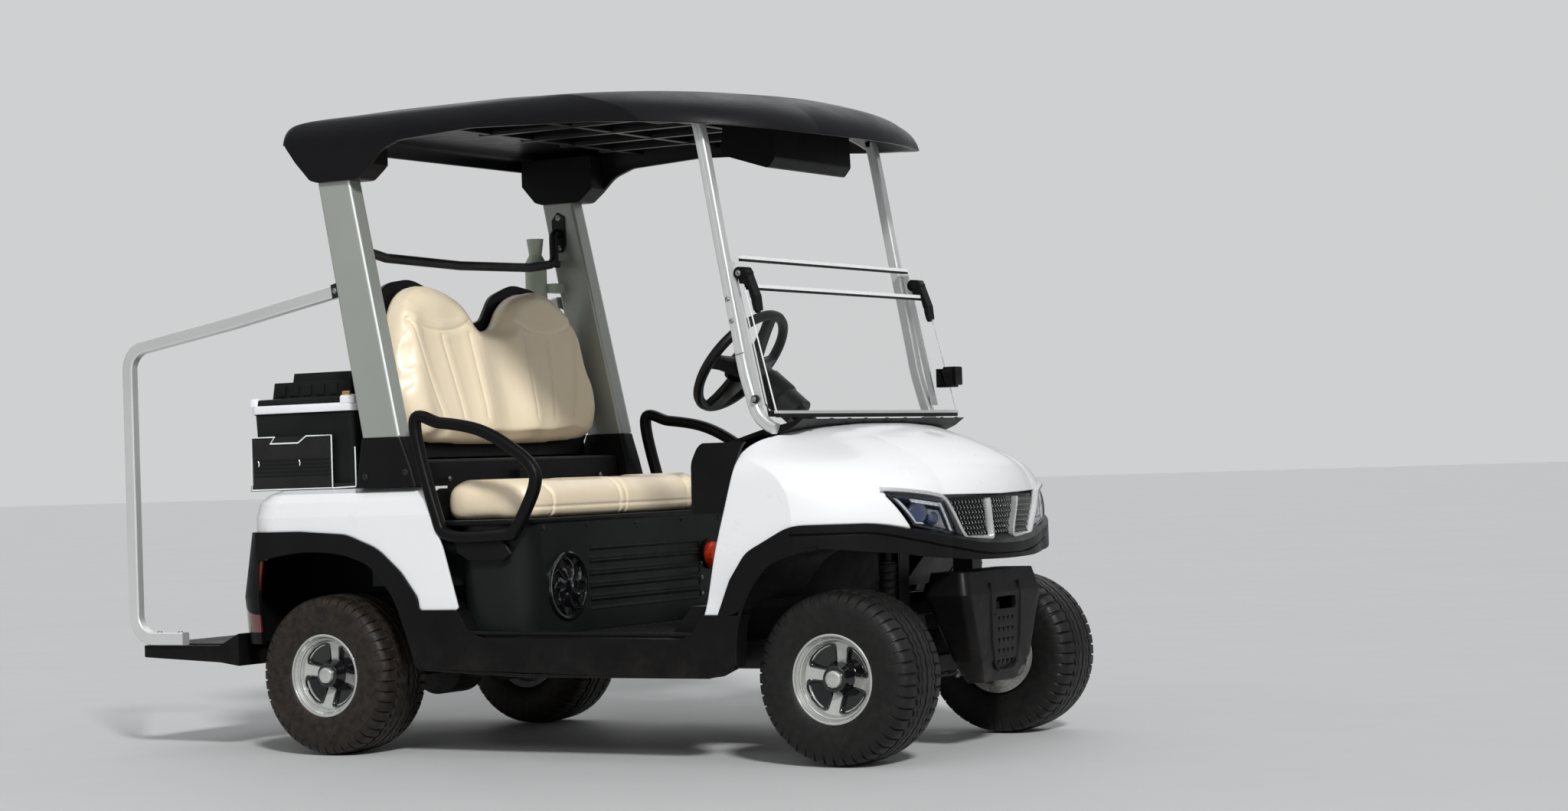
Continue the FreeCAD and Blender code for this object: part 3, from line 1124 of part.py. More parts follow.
# Steering column and wheel
tilt = math.radians(WHEEL_TILT)
column_axis = vec(-math.cos(tilt), 0, math.sin(tilt))
wheel_centre = vec(WHEEL_CENTRE_X, WHEEL_CENTRE_Y, WHEEL_CENTRE_Z)
hub_foot = wheel_centre - column_axis * 60
column = rod(hub_foot - column_axis * COLUMN_LENGTH, hub_foot - column_axis * 0.5, COLUMN_RADIUS)
column = column.fuse(rod(hub_foot - column_axis * 190, hub_foot - column_axis * 20, 44))
keep("steering_column", column)
cowl = cowl.cut(rod(hub_foot - column_axis * (COLUMN_LENGTH + 1), hub_foot, COLUMN_RADIUS + RUNNING_GAP))
keep("dash_cowl", cowl.cut(rod(hub_foot - column_axis * 190.3, hub_foot, 44 + RUNNING_GAP)))
grip_section = []
for index in range(GRIP_SIDES):
    turn = math.radians(360 / GRIP_SIDES * index)
    outward = Y_AXIS * (WHEEL_RADIUS + GRIP_RADIUS * math.cos(turn))
    grip_section.append(wheel_centre + outward + column_axis * (GRIP_RADIUS * math.sin(turn)))
rim_ring = Part.Face(Part.makePolygon(grip_section + grip_section[:1])).revolve(wheel_centre, column_axis, 360)
hub = rod(hub_foot, wheel_centre - column_axis * 14, 42)
spokes = []
across = column_axis.cross(Y_AXIS).normalize()
for angle in (0, 180, 270):
    turn = math.radians(angle)
    outward = Y_AXIS * math.cos(turn) + across * math.sin(turn)
    spokes.append(rod(wheel_centre - column_axis * 34 + outward * 30, wheel_centre + outward * WHEEL_RADIUS, 11))
keep("steering_wheel", joined([rim_ring, hub] + spokes))

# Pedals
pedals = []
for y, width in ((150, 70), (300, 90)):
    pad = side_slab([(FRONT - 500, 400), (FRONT - 488, 396), (FRONT - 440, 520), (FRONT - 452, 526)], y - width / 2, y + width / 2, 4)
    leg = side_slab([(FRONT - 466, 470), (FRONT - 376, 470), (FRONT - 376, 488), (FRONT - 456, 488)], y - 8, y + 8)
    pedals.append(joined([pad, leg]).cut(floor_pan))
keep("pedals", *pedals)

os.makedirs("parts", exist_ok=True)
for name, shape in nodes.items():
    shape.translate(vec(-MID_X, 0, 0))
    shape.exportStep("parts/" + name + ".step")
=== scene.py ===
import bmesh
import bpy
import math
import numpy as np
from mathutils import Matrix, Vector
from mathutils.bvhtree import BVHTree


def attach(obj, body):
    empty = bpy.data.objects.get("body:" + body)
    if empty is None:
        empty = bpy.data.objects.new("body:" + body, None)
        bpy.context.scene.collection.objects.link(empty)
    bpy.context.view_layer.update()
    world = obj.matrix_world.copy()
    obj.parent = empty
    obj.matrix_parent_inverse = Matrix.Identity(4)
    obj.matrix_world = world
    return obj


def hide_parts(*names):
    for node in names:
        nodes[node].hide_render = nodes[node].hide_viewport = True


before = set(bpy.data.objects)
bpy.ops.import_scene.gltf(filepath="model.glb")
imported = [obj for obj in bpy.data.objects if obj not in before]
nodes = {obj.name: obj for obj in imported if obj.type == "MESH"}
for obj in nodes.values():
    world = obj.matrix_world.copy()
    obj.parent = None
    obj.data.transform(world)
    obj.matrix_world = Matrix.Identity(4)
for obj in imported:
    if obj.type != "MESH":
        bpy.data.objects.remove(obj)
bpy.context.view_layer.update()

# Places are written as in the part's source: millimetres, X counted from the rear axle
MID_X = 576.5
FRONT = 1650.0
HUB_Z = 228.5
SIDES = (1, -1)


def at(x, y, z):
    return Vector(((x - MID_X) / 1000, y / 1000, z / 1000))


def on_plane(outline, y, shift=0.0):
    """(x, z) points put on a plane y."""
    return [at(x + shift, y, z) for x, z in outline]


def circle(count):
    """Cosine and sine of evenly spread angles."""
    for k in range(count):
        angle = 2 * math.pi * k / count
        yield math.cos(angle), math.sin(angle)


def squared(value, power):
    """Powers below one square a circle's cosine or sine off."""
    return math.copysign(abs(value) ** power, value)


# Camera at the place of the photograph
CAMERA = Vector((4.9297, -7.3648, 0.7908))
CAMERA_ANGLES = (30.313, -1.088, -1.890)
LENS, SENSOR = 69.43, 36.0
turn, rise, roll = (math.radians(v) for v in CAMERA_ANGLES)
back = Vector((
    math.sin(turn) * math.cos(rise), -math.cos(turn) * math.cos(rise), math.sin(rise),
))
right = (-back).cross(Vector((0, 0, 1))).normalized()
up = right.cross(-back)
cam_x = right * math.cos(roll) + up * math.sin(roll)
cam_y = up * math.cos(roll) - right * math.sin(roll)
camera = bpy.data.objects.new("camera", bpy.data.cameras.new("camera"))
camera.data.lens = LENS
camera.data.sensor_width = SENSOR
camera.data.clip_end = 200
bpy.context.collection.objects.link(camera)
camera_turn = Matrix((cam_x, cam_y, back)).transposed().to_4x4()
camera.matrix_world = Matrix.Translation(CAMERA) @ camera_turn
bpy.context.scene.camera = camera
bpy.context.scene.view_settings.view_transform = "Standard"


# Materials
class Tree:
    """Short hand for the node tree of a material or a world."""

    def __init__(self, owner):
        owner.use_nodes = True
        self.tree = owner.node_tree

    def give(self, node, inputs):
        """Sockets are linked to a node's inputs, values are set."""
        for name, value in inputs.items():
            socket = node.inputs[name]
            if isinstance(value, bpy.types.NodeSocket):
                self.tree.links.new(value, socket)
            else:
                socket.default_value = (*value, 1.0) if socket.type == "RGBA" else value

    def add(self, kind, inputs=None):
        node = self.tree.nodes.new("ShaderNode" + kind)
        self.give(node, inputs or {})
        return node

    def ranged(self, source, low, high, to_low, to_high):
        inputs = {0: source, 1: low, 2: high, 3: to_low, 4: to_high}
        return self.add("MapRange", inputs).outputs[0]

    def height(self, place):
        return self.add("SeparateXYZ", {0: place}).outputs[2]


class Nodes(Tree):
    """A new material with its shader and the place on the object."""

    def __init__(self, name):
        self.mat = bpy.data.materials.new(name)
        super().__init__(self.mat)
        self.shader = self.tree.nodes["Principled BSDF"]
        self.place = self.add("TexCoord").outputs["Object"]

    def noise(self, scale, detail=4.0, rough=0.55, place=None):
        place = self.place if place is None else place
        inputs = {"Scale": scale, "Detail": detail, "Roughness": rough, "Vector": place}
        return self.add("TexNoise", inputs).outputs["Fac"]

    def mix(self, factor, low, high):
        node = self.add("Mix")
        node.data_type = "RGBA"
        self.give(node, {0: factor, 6: low, 7: high})
        return node.outputs[2]

    def bump(self, height, strength, distance, after=None):
        node = self.add("Bump", {"Strength": strength, "Distance": distance, "Height": height})
        if after is not None:
            self.give(node, {"Normal": after})
        return node.outputs["Normal"]

    def soft_edges(self, radius):
        node = self.add("Bevel", {"Radius": radius})
        node.samples = 4
        return node.outputs["Normal"]


def finish(name, colour, other, rough, metal=0.0, patch=2.5, vary=0.08, grain=600.0, lift=0.12,
           depth=0.0004, coat=0.0, coat_rough=0.08, edge=0.0, dust=None, dust_top=0.0,
           specular=0.5):
    """A surface with two near colours in patches, uneven gloss, fine grain and eased edges."""
    n = Nodes(name)
    patches = n.ranged(n.noise(patch, 5.0), 0.35, 0.68, 0.0, 1.0)
    tint = n.mix(patches, colour, other)
    if dust is not None:
        low = n.ranged(n.height(n.place), dust_top, 0.0, 0.0, 1.0)
        specks = n.ranged(n.noise(14.0, 8.0, 0.7), 0.42, 0.72, 0.0, 1.0)
        both = n.add("Math", {0: low, 1: specks})
        both.operation = "MULTIPLY"
        tint = n.mix(both.outputs[0], tint, dust)
    gloss = n.noise(patch * 6, 6.0, 0.65)
    eased = n.soft_edges(edge) if edge else None
    n.give(n.shader, {
        "Base Color": tint,
        "Roughness": n.ranged(gloss, 0.3, 0.7, max(0.02, rough - vary), rough + vary),
        "Normal": n.bump(n.noise(grain, 3.0), lift, depth, eased),
        "Metallic": metal,
        "Specular IOR Level": specular,
        "Coat Weight": coat,
        "Coat Roughness": coat_rough,
    })
    return n.mat


def clear(name, tint, rough, smear, bend):
    """A see-through pane or lens with faint smears."""
    n = Nodes(name)
    flat = n.add("Mapping", {"Scale": (1, 1, 0.35), "Vector": n.place}).outputs["Vector"]
    n.give(n.shader, {
        "Roughness": n.ranged(n.noise(smear, 6.0, 0.6, flat), 0.45, 0.8, rough, rough + 0.02),
        "Base Color": tint,
        "Transmission Weight": 1.0,
        "IOR": bend,
        "Specular IOR Level": 0.25,
    })
    return n.mat


def vinyl(name, colour, other):
    """Seat vinyl with a leather grain."""
    n = Nodes(name)
    pores = n.add("TexVoronoi", {"Scale": 420.0, "Vector": n.place}).outputs["Distance"]
    wrinkles = n.bump(n.noise(38.0, 5.0, 0.6), 0.10, 0.002)
    n.give(n.shader, {
        "Base Color": n.mix(n.ranged(n.noise(5.0, 5.0), 0.35, 0.7, 0.0, 1.0), colour, other),
        "Roughness": n.ranged(n.noise(30.0, 5.0), 0.3, 0.7, 0.30, 0.42),
        "Normal": n.bump(pores, 0.22, 0.0005, wrinkles),
        "Coat Weight": 0.25,
        "Coat Roughness": 0.25,
    })
    return n.mat


def rubber(name, colour, dusty):
    """Tyre rubber with dust in specks."""
    n = Nodes(name)
    specks = n.ranged(n.noise(40.0, 8.0, 0.75), 0.4, 0.75, 0.0, 1.0)
    n.give(n.shader, {
        "Base Color": n.mix(specks, colour, dusty),
        "Roughness": n.ranged(n.noise(60.0, 5.0), 0.3, 0.7, 0.40, 0.62),
        "Normal": n.bump(n.noise(900.0, 3.0), 0.2, 0.0005),
        "Specular IOR Level": 0.25,
    })
    return n.mat


# Each row: two colours, roughness, and what differs from the defaults of finish
FINISHES = {
    "white_panel": (
        (0.83, 0.84, 0.85), (0.80, 0.81, 0.825), 0.3,
        dict(patch=1.2, vary=0.04, grain=300.0, lift=0.02, depth=0.0001, coat=0.35, edge=0.006)),
    "black_moulding": (
        (0.004, 0.004, 0.0045), (0.007, 0.007, 0.0075), 0.38,
        dict(patch=3.0, grain=900.0, lift=0.22, edge=0.003, dust=(0.04, 0.033, 0.024),
             dust_top=0.36, specular=0.12)),
    "dark_grey_moulding": (
        (0.006, 0.008, 0.0072), (0.010, 0.0125, 0.0115), 0.36,
        dict(patch=3.0, grain=800.0, lift=0.2, edge=0.003, specular=0.14)),
    "roof_black": (
        (0.005, 0.005, 0.006), (0.008, 0.008, 0.009), 0.36,
        dict(patch=1.5, grain=700.0, lift=0.2, edge=0.004, specular=0.14)),
    "aluminium": (
        (0.80, 0.81, 0.80), (0.74, 0.75, 0.745), 0.30,
        dict(metal=0.6, patch=4.0, vary=0.03, grain=260.0, lift=0.02, depth=0.00004)),
    "silver_paint": (
        (0.40, 0.42, 0.385), (0.36, 0.38, 0.35), 0.34,
        dict(metal=0.35, patch=2.0, vary=0.03, grain=1500.0, lift=0.05, depth=0.0002, coat=0.5,
             coat_rough=0.12, edge=0.003)),
    "wheel_alloy": (
        (0.56, 0.57, 0.545), (0.51, 0.52, 0.495), 0.26,
        dict(metal=0.55, patch=12.0, vary=0.03, grain=900.0, lift=0.02, depth=0.00005, coat=0.5,
             edge=0.001)),
    "steel_black": (
        (0.007, 0.007, 0.007), (0.018, 0.017, 0.016), 0.42,
        dict(patch=6.0, grain=500.0, lift=0.2, edge=0.002, dust=(0.09, 0.074, 0.055),
             dust_top=0.32, specular=0.3)),
    "steel": (
        (0.45, 0.45, 0.45), (0.30, 0.29, 0.28), 0.3,
        dict(metal=1.0, patch=9.0, grain=400.0, lift=0.15, edge=0.001)),
    "lamp_dark": (
        (0.008, 0.014, 0.032), (0.014, 0.022, 0.050), 0.2,
        dict(patch=20.0, grain=700.0, lift=0.05, coat=0.6, edge=0.001)),
    "chrome_trim": (
        (0.64, 0.65, 0.64), (0.56, 0.57, 0.56), 0.26,
        dict(metal=0.6, patch=12.0, vary=0.03, grain=500.0, lift=0.02, depth=0.00004, coat=0.4)),
    "mesh_black": (
        (0.006, 0.006, 0.007), (0.010, 0.010, 0.011), 0.28,
        dict(patch=12.0, grain=500.0, lift=0.08, edge=0.001, specular=0.2)),
    "red_cap": (
        (0.92, 0.055, 0.012), (0.85, 0.045, 0.01), 0.3,
        dict(patch=20.0, grain=900.0, edge=0.001)),
    "red_lens": (
        (0.10, 0.010, 0.008), (0.06, 0.008, 0.006), 0.12,
        dict(patch=18.0, grain=120.0, lift=0.2, coat=1.0, edge=0.001)),
    "cooler_black": (
        (0.007, 0.008, 0.008), (0.012, 0.013, 0.013), 0.42,
        dict(patch=6.0, grain=700.0, lift=0.3, depth=0.0005, edge=0.003, specular=0.14)),
    "bottle_green": (
        (0.56, 0.62, 0.50), (0.48, 0.55, 0.44), 0.38,
        dict(patch=14.0, grain=500.0, lift=0.1, edge=0.001)),
    "grip_black": (
        (0.007, 0.007, 0.007), (0.012, 0.012, 0.012), 0.46,
        dict(patch=15.0, grain=700.0, lift=0.3, depth=0.0005, edge=0.001, specular=0.18)),
    "battery_grey": (
        (0.05, 0.052, 0.055), (0.065, 0.067, 0.07), 0.5,
        dict(patch=6.0, grain=500.0, lift=0.2, edge=0.002)),
    "gloss_black": (
        (0.003, 0.003, 0.004), (0.006, 0.006, 0.007), 0.10,
        dict(patch=20.0, vary=0.04, grain=700.0, lift=0.03, coat=0.7, edge=0.001, specular=0.4)),
    "white_lid": (
        (0.84, 0.86, 0.88), (0.79, 0.81, 0.83), 0.36, dict(patch=10.0, lift=0.1, edge=0.002)),
    "brass": (
        (0.62, 0.42, 0.14), (0.5, 0.33, 0.1), 0.3, dict(metal=1.0, patch=30.0, edge=0.0005)),
    # White trim, strips and wire; also the painted highlights on the strut corners, the pane side
    # edges and the tail lamp tops
    "bright_edge": (
        (0.88, 0.91, 0.90), (0.84, 0.87, 0.86), 0.3,
        dict(patch=20.0, coat=0.3, grain=200.0, lift=0.01)),
    "lamp_blue": (
        (0.022, 0.045, 0.13), (0.012, 0.022, 0.06), 0.08,
        dict(metal=0.3, patch=16.0, coat=1.0, grain=300.0, lift=0.02, depth=0.00005)),
    "lamp_silver": (
        (0.80, 0.83, 0.86), (0.68, 0.71, 0.75), 0.25,
        dict(metal=0.3, patch=14.0, grain=300.0, lift=0.02, depth=0.00005)),
}
finishes = {name: finish(name, *row, **rest) for name, (*row, rest) in FINISHES.items()}
finishes["tyre"] = rubber("tyre", (0.006, 0.006, 0.006), (0.016, 0.0145, 0.013))
finishes["glass_clear"] = clear("glass_clear", (0.99, 0.998, 0.995), 0.0, 9.0, 1.05)
finishes["lens_clear"] = clear("lens_clear", (0.98, 0.99, 1.0), 0.0, 20.0, 1.12)
cream = vinyl("cream_vinyl", (0.94, 0.81, 0.60), (0.92, 0.78, 0.56))
tyre_dusty = rubber("tyre_dusty", (0.008, 0.0075, 0.007), (0.042, 0.029, 0.019))
PAINTED = {
    "roof_struts": "silver_paint",
    "windshield_posts": "aluminium",
    "grille_frames": "chrome_trim",
}
for node_name, node in nodes.items():
    for held in node.material_slots:
        kind = PAINTED.get(node_name, held.material.name.split(".")[0])
        if kind in finishes:
            held.material = finishes[kind]


# Mesh helpers
class Bag:
    """Collects several closed pieces into one mesh."""

    def __init__(self):
        self.verts = []
        self.faces = []

    def rings(self, rings, closed=True, caps=True, round_trip=False):
        """Skin a list of point rings of equal length."""
        count = len(rings[0])
        base = len(self.verts)
        self.verts.extend(Vector(p) for ring in rings for p in ring)
        faces = []
        for i in range(len(rings) if round_trip else len(rings) - 1):
            a = i * count
            b = ((i + 1) % len(rings)) * count
            for j in range(count if closed else count - 1):
                k = (j + 1) % count
                faces.append([a + j, a + k, b + k, b + j])
        if caps and not round_trip:
            faces.append(list(range(count))[::-1])
            faces.append([(len(rings) - 1) * count + j for j in range(count)])
        self.faces.extend([base + i for i in face] for face in faces)

    def turned(self, profile, base, axis, steps=32, caps=True):
        """Revolve (radius, height) points in mm about an axis through base."""
        axis = Vector(axis).normalized()
        side = axis.orthogonal().normalized()
        other = axis.cross(side)
        rings = [
            [base + axis * (height / 1000) + (side * c + other * s) * (radius / 1000)
             for c, s in circle(steps)]
            for radius, height in profile
        ]
        self.rings(rings, caps=caps)

    def tube(self, points, radius, sides=10, closed=False):
        """A round tube of radius (mm) through points (m)."""
        points = [Vector(p) for p in points]
        rings = []
        side = None
        for i, point in enumerate(points):
            before = points[i - 1] if i or closed else point
            after = points[(i + 1) % len(points)] if i + 1 < len(points) or closed else point
            along = (after - before).normalized()
            side = along.orthogonal() if side is None else side - along * side.dot(along)
            side.normalize()
            other = along.cross(side)
            rings.append([
                point + (side * c + other * s) * (radius / 1000) for c, s in circle(sides)
            ])
        self.rings(rings, round_trip=closed)

    def swept(self, line, section, closed=False, forward=False):
        """A section of (over, sideways) points in mm drawn along a line on a plane y."""
        size = len(line)
        rings = []
        for i, point in enumerate(line):
            before = line[i - 1] if i or closed else point
            after = line[(i + 1) % size] if i + 1 < size or closed else point
            along = (after - before).normalized()
            over = Vector((-along.z, 0, along.x))
            if forward and over.x <= 0:
                over = -over
            rings.append([
                point + over * (u / 1000) + Vector((0, v / 1000, 0)) for u, v in section
            ])
        self.rings(rings, round_trip=closed)

    def slab(self, outline, depth, ease=1.5):
        """Outline points (m) pushed along depth (m vector), with eased edges (mm)."""
        middle = sum(outline, Vector()) / len(outline)
        small = []
        for point in outline:
            inward = middle - point
            small.append(point + inward.normalized() * min(ease / 1000, inward.length / 2))
        step = depth.normalized() * (ease / 1000)
        self.rings([
            small,
            [p + step for p in outline],
            [p + depth - step for p in outline],
            [p + depth for p in small],
        ])

    def plate(self, outline, y, thick, ease=1.2):
        """An outline of (x, z) points made into a plate from y, thick towards +y."""
        self.slab(on_plane(outline, y), Vector((0, thick / 1000, 0)), ease)

    def beam(self, x0, x1, y0, y1, z0, z1, ease=1.5):
        """A box with eased edges."""
        outline = [at(x0, y0, z0), at(x1, y0, z0), at(x1, y1, z0), at(x0, y1, z0)]
        self.slab(outline, Vector((0, 0, (z1 - z0) / 1000)), ease)

    def bolt(self, place, axis, radius=7.0, head=4.0):
        """A domed socket screw on a washer."""
        self.turned([
            (radius * 1.5, 0), (radius * 1.5, 1.0), (radius * 1.02, 1.3), (radius, head * 0.7),
            (radius * 0.75, head), (radius * 0.45, head), (radius * 0.4, head * 0.35),
            (0.01, head * 0.3),
        ], place, axis, steps=14)

    def mesh(self, name):
        mesh = bpy.data.meshes.new(name)
        mesh.from_pydata(self.verts, [], self.faces)
        mesh.update()
        work = bmesh.new()
        work.from_mesh(mesh)
        bmesh.ops.recalc_face_normals(work, faces=work.faces)
        work.to_mesh(mesh)
        work.free()
        return mesh

    def make(self, name, look, body, angle=38.0):
        mesh = self.mesh(name)
        mesh.materials.append(finishes[look])
        mesh.shade_smooth()
        mesh.set_sharp_from_angle(angle=math.radians(angle))
        obj = bpy.data.objects.new(name, mesh)
        bpy.context.collection.objects.link(obj)
        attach(obj, body)
        return obj

    def stand_in(self, name, look, node):
        """A chassis piece shown in place of a solid."""
        piece = self.make(name, look, "chassis")
        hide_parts(node)


def surface_of(*names):
    """A ray-castable copy of CAD nodes."""
    verts, faces = [], []
    for name in names:
        mesh = nodes[name].data
        base = len(verts)
        verts.extend(v.co.copy() for v in mesh.vertices)
        faces.extend([base + i for i in p.vertices] for p in mesh.polygons)
    return BVHTree.FromPolygons(verts, faces)


def catmull(p0, p1, p2, p3, u):
    """A point between p1 and p2 of a smooth line through four."""
    return 0.5 * (2 * p1 + (p2 - p0) * u + (2 * p0 - 5 * p1 + 4 * p2 - p3) * u * u
                  + (3 * p1 - p0 - 3 * p2 + p3) * u ** 3)


def spline(points, count):
    """A smooth line through points."""
    points = [Vector(p) for p in points]
    runs = len(points) - 1
    line = []
    for i in range(count):
        t = i / (count - 1) * runs
        k = min(int(t), runs - 1)
        four = points[max(k - 1, 0)], points[k], points[k + 1], points[min(k + 2, runs)]
        line.append(catmull(*four, t - k))
    return line


def loop(points, count):
    """A closed smooth line."""
    size = len(points)
    line = []
    for i in range(count):
        t = i / count * size
        k = int(t)
        line.append(catmull(*(points[(k + j) % size] for j in (-1, 0, 1, 2)), t - k))
    return line


# Tyres with zigzag grooves and shoulder blocks
WHEELS = [
    ("front_left", FRONT, 475.0),
    ("front_right", FRONT, -475.0),
    ("rear_left", 0.0, 495.0),
    ("rear_right", 0.0, -495.0),
]
AXLE = (0, 1, 0)
PITCHES = 46
PITCH_STEPS = (0.0, 0.10, 0.20, 0.30, 0.42, 0.47, 0.57, 0.62, 0.72, 0.86)
TREAD = (
    (226.6, 51.0), (219.5, 49.4), (219.5, 42.6), (227.2, 41.0), (227.7, 30.0), (227.9, 29.0),
    (221.5, 27.8), (221.5, 25.0), (228.1, 23.8), (228.3, 14.0), (228.4, 4.8), (220.5, 3.4),
)
ZIGZAG = 4.0


def on_wheel(radius, angle, z):
    return Vector((radius * math.cos(angle), z, radius * math.sin(angle))) / 1000


def tyre_rings():
    """Half of the section is (radius, z); the tread is laid out in pitches round the wheel."""
    rings = []
    for where in [(pitch + step) / PITCHES for pitch in range(PITCHES) for step in PITCH_STEPS]:
        u = (where * PITCHES) % 1.0
        zig = (abs(((u + 0.25) % 1.0) - 0.5) * 4 - 1) * ZIGZAG
        section = []
        for side, shift in ((1, 0.0), (-1, 0.5)):
            slot = 1.0 if 0.45 < (u + shift) % 1.0 < 0.6 else 0.0
            half = [
                (101.3, 80.0), (118.3, 87.0), (118.3, 95.0), (121.5, 97.5), (128.0, 100.5),
                (140.0, 104.0), (156.0, 106.8), (172.0, 107.6), (186.0, 106.6),
                (196.0, 104.4 - 0.8 * slot), (206.0, 101.2 - 3.5 * slot),
                (213.0 - 1.5 * slot, 97.6 - 5.0 * slot), (219.0 - 4.0 * slot, 91.5 - 5.0 * slot),
                (222.6 - 6.0 * slot, 84.0 - 1.0 * slot), (224.4 - 6.5 * slot, 74.0),
                (225.2 - 6.0 * slot, 62.0),
            ]
            half += [(r, z + side * zig * min(1.0, z / 14.0)) for r, z in TREAD]
            section += half if side > 0 else [(r, -z) for r, z in half[::-1]]
        angle = 2 * math.pi * where
        rings.append([on_wheel(r, angle, z) for r, z in section])
    return rings


def on_wheels(label, collected, look, angle=38.0):
    """One mesh on all four wheels, turned round on the far side."""
    pieces = {}
    data = None
    for name, x, y in WHEELS:
        if data is None:
            piece = collected.make(label + name, look, "wheel_" + name, angle)
            data = piece.data
        else:
            piece = bpy.data.objects.new(label + name, data)
            bpy.context.collection.objects.link(piece)
        piece.parent = None
        facing = Matrix.Rotation(math.pi if y < 0 else 0, 4, "Z")
        piece.matrix_world = Matrix.Translation(at(x, y, HUB_Z)) @ facing
        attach(piece, "wheel_" + name)
        pieces[name] = piece
    return pieces


tyre_bag = Bag()
tyre_bag.rings(tyre_rings(), round_trip=True)
for name, tyre in on_wheels("tyre_tread_", tyre_bag, "tyre", angle=32).items():
    if name.startswith("rear"):
        tyre.material_slots[0].link = "OBJECT"
        tyre.material_slots[0].material = tyre_dusty
    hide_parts("tyre_" + name)

# Wheel pods: glossy black pans between the four spokes, hub cover, cap and lip
POD_TURN = 55.0
POD_LEVELS = (
    (1.0, -7.0), (1.0, 2.2), (0.97, 3.6), (0.90, 3.4), (0.84, 0.5), (0.78, -7.0), (0.60, -12.5),
    (0.30, -14.5), (0.05, -15.0),
)


def pod_point(u, v, height, turn):
    """u runs outwards and v round, both from -1 to 1; height is above the foot of the dish."""
    radius = 68.5 + u * 25.5
    half = 27.75 + (radius - 44.0) / 47.0 * 8.0
    dish = max(0.0, (radius - 40.0) / 55.0) * 16.0
    return on_wheel(radius, math.radians(v * half + turn), 51.0 + dish + height)


pod_bag, hub_bag, lip_bag = Bag(), Bag(), Bag()
for index in range(4):
    pod_bag.rings([
        [pod_point(scale * squared(c, 0.42), scale * squared(s, 0.42), height,
                   POD_TURN + 90 * index) for c, s in circle(40)]
        for scale, height in POD_LEVELS
    ])
pod_bag.turned([
    (44.5, 48.0), (43.5, 53.0), (34.0, 82.5), (31.5, 84.0), (25.5, 84.2), (24.0, 83.2),
    (22.4, 83.2), (22.4, 48.0),
], Vector(), AXLE, steps=48, caps=False)
hub_bag.turned(
    [(21.8, 84.0), (21.8, 92.2), (19.5, 94.0), (12.0, 94.6), (0.01, 94.8)], Vector(), AXLE, 40)
lip_bag.turned([
    (112.5, 94.0), (117.6, 94.8), (118.0, 93.0), (118.0, 96.3), (115.5, 97.6), (112.0, 96.4),
    (110.5, 92.0),
], Vector(), AXLE, steps=96, caps=False)
on_wheels("wheel_pods_", pod_bag, "gloss_black")
on_wheels("wheel_cap_", hub_bag, "wheel_alloy")
on_wheels("wheel_lip_", lip_bag, "wheel_alloy")

# Soft seats: a slab is remeshed, blown up as cloth, refined and sewn
VOXEL = 0.007
CLOTH_FRAMES = 20
PRESSURE = 4.0


def settled(obj):
    """Apply what modifiers the object has."""
    graph = bpy.context.evaluated_depsgraph_get()
    graph.update()
    fresh = bpy.data.meshes.new_from_object(obj.evaluated_get(graph))
    obj.modifiers.clear()
    obj.data = fresh


def read(elements, kind, width, number):
    """One property of all of a mesh's elements as rows."""
    values = np.empty(len(elements) * width, number)
    elements.foreach_get(kind, values)
    return values.reshape(-1, width)


def vertex_rows(mesh, kind="co"):
    return read(mesh.vertices, kind, 3, np.float32).astype(float)


def store(mesh, co):
    mesh.vertices.foreach_set("co", co.astype(np.float32).ravel())
    mesh.update()


def eased(mesh, rounds, share=0.5):
    """Laplacian smoothing."""
    co = vertex_rows(mesh)
    pairs = read(mesh.edges, "vertices", 2, np.int32)
    count = np.bincount(pairs.ravel(), minlength=len(co))[:, None]
    for _ in range(rounds):
        total = np.zeros_like(co)
        np.add.at(total, pairs[:, 0], co[pairs[:, 1]])
        np.add.at(total, pairs[:, 1], co[pairs[:, 0]])
        co = co + share * (total / count - co)
    return co


def blown(obj, cap, bound):
    """Cloth with inner pressure; no point moves further than cap (m)."""
    rest = vertex_rows(obj.data)
    settings = obj.modifiers.new("cloth", "CLOTH").settings
    settings.use_pressure = True
    settings.uniform_pressure_force = PRESSURE
    settings.effector_weights.gravity = 0.0
    settings.quality = 5
    settings.mass = 0.3
    scene = bpy.context.scene
    for index in range(1, CLOTH_FRAMES + 1):
        scene.frame_set(index)
    graph = bpy.context.evaluated_depsgraph_get()
    moved = bpy.data.meshes.new_from_object(obj.evaluated_get(graph))
    shift = vertex_rows(moved) - rest
    length = np.linalg.norm(shift, axis=1, keepdims=True)
    shift *= np.minimum(1.0, cap / np.maximum(length, 1e-9))
    obj.modifiers.clear()
    scene.frame_set(1)
    store(obj.data, bound(rest + shift))


def line_distance(points, line):
    """Distance of flat points to a flat polyline."""
    best = np.full(len(points), 1e9)
    line = np.array(line)
    for a, b in zip(line[:-1], line[1:]):
        run = b - a
        t = np.clip(((points - a) @ run) / (run @ run), 0, 1)
        best = np.minimum(best, np.linalg.norm(points - a - t[:, None] * run, axis=1))
    return best


def bell(values, middle, wide):
    return np.exp(-(((values - middle) / wide) ** 2))


def curve2(points, count=40):
    return [(p.x, p.y) for p in spline([(a, b, 0) for a, b in points], count)]


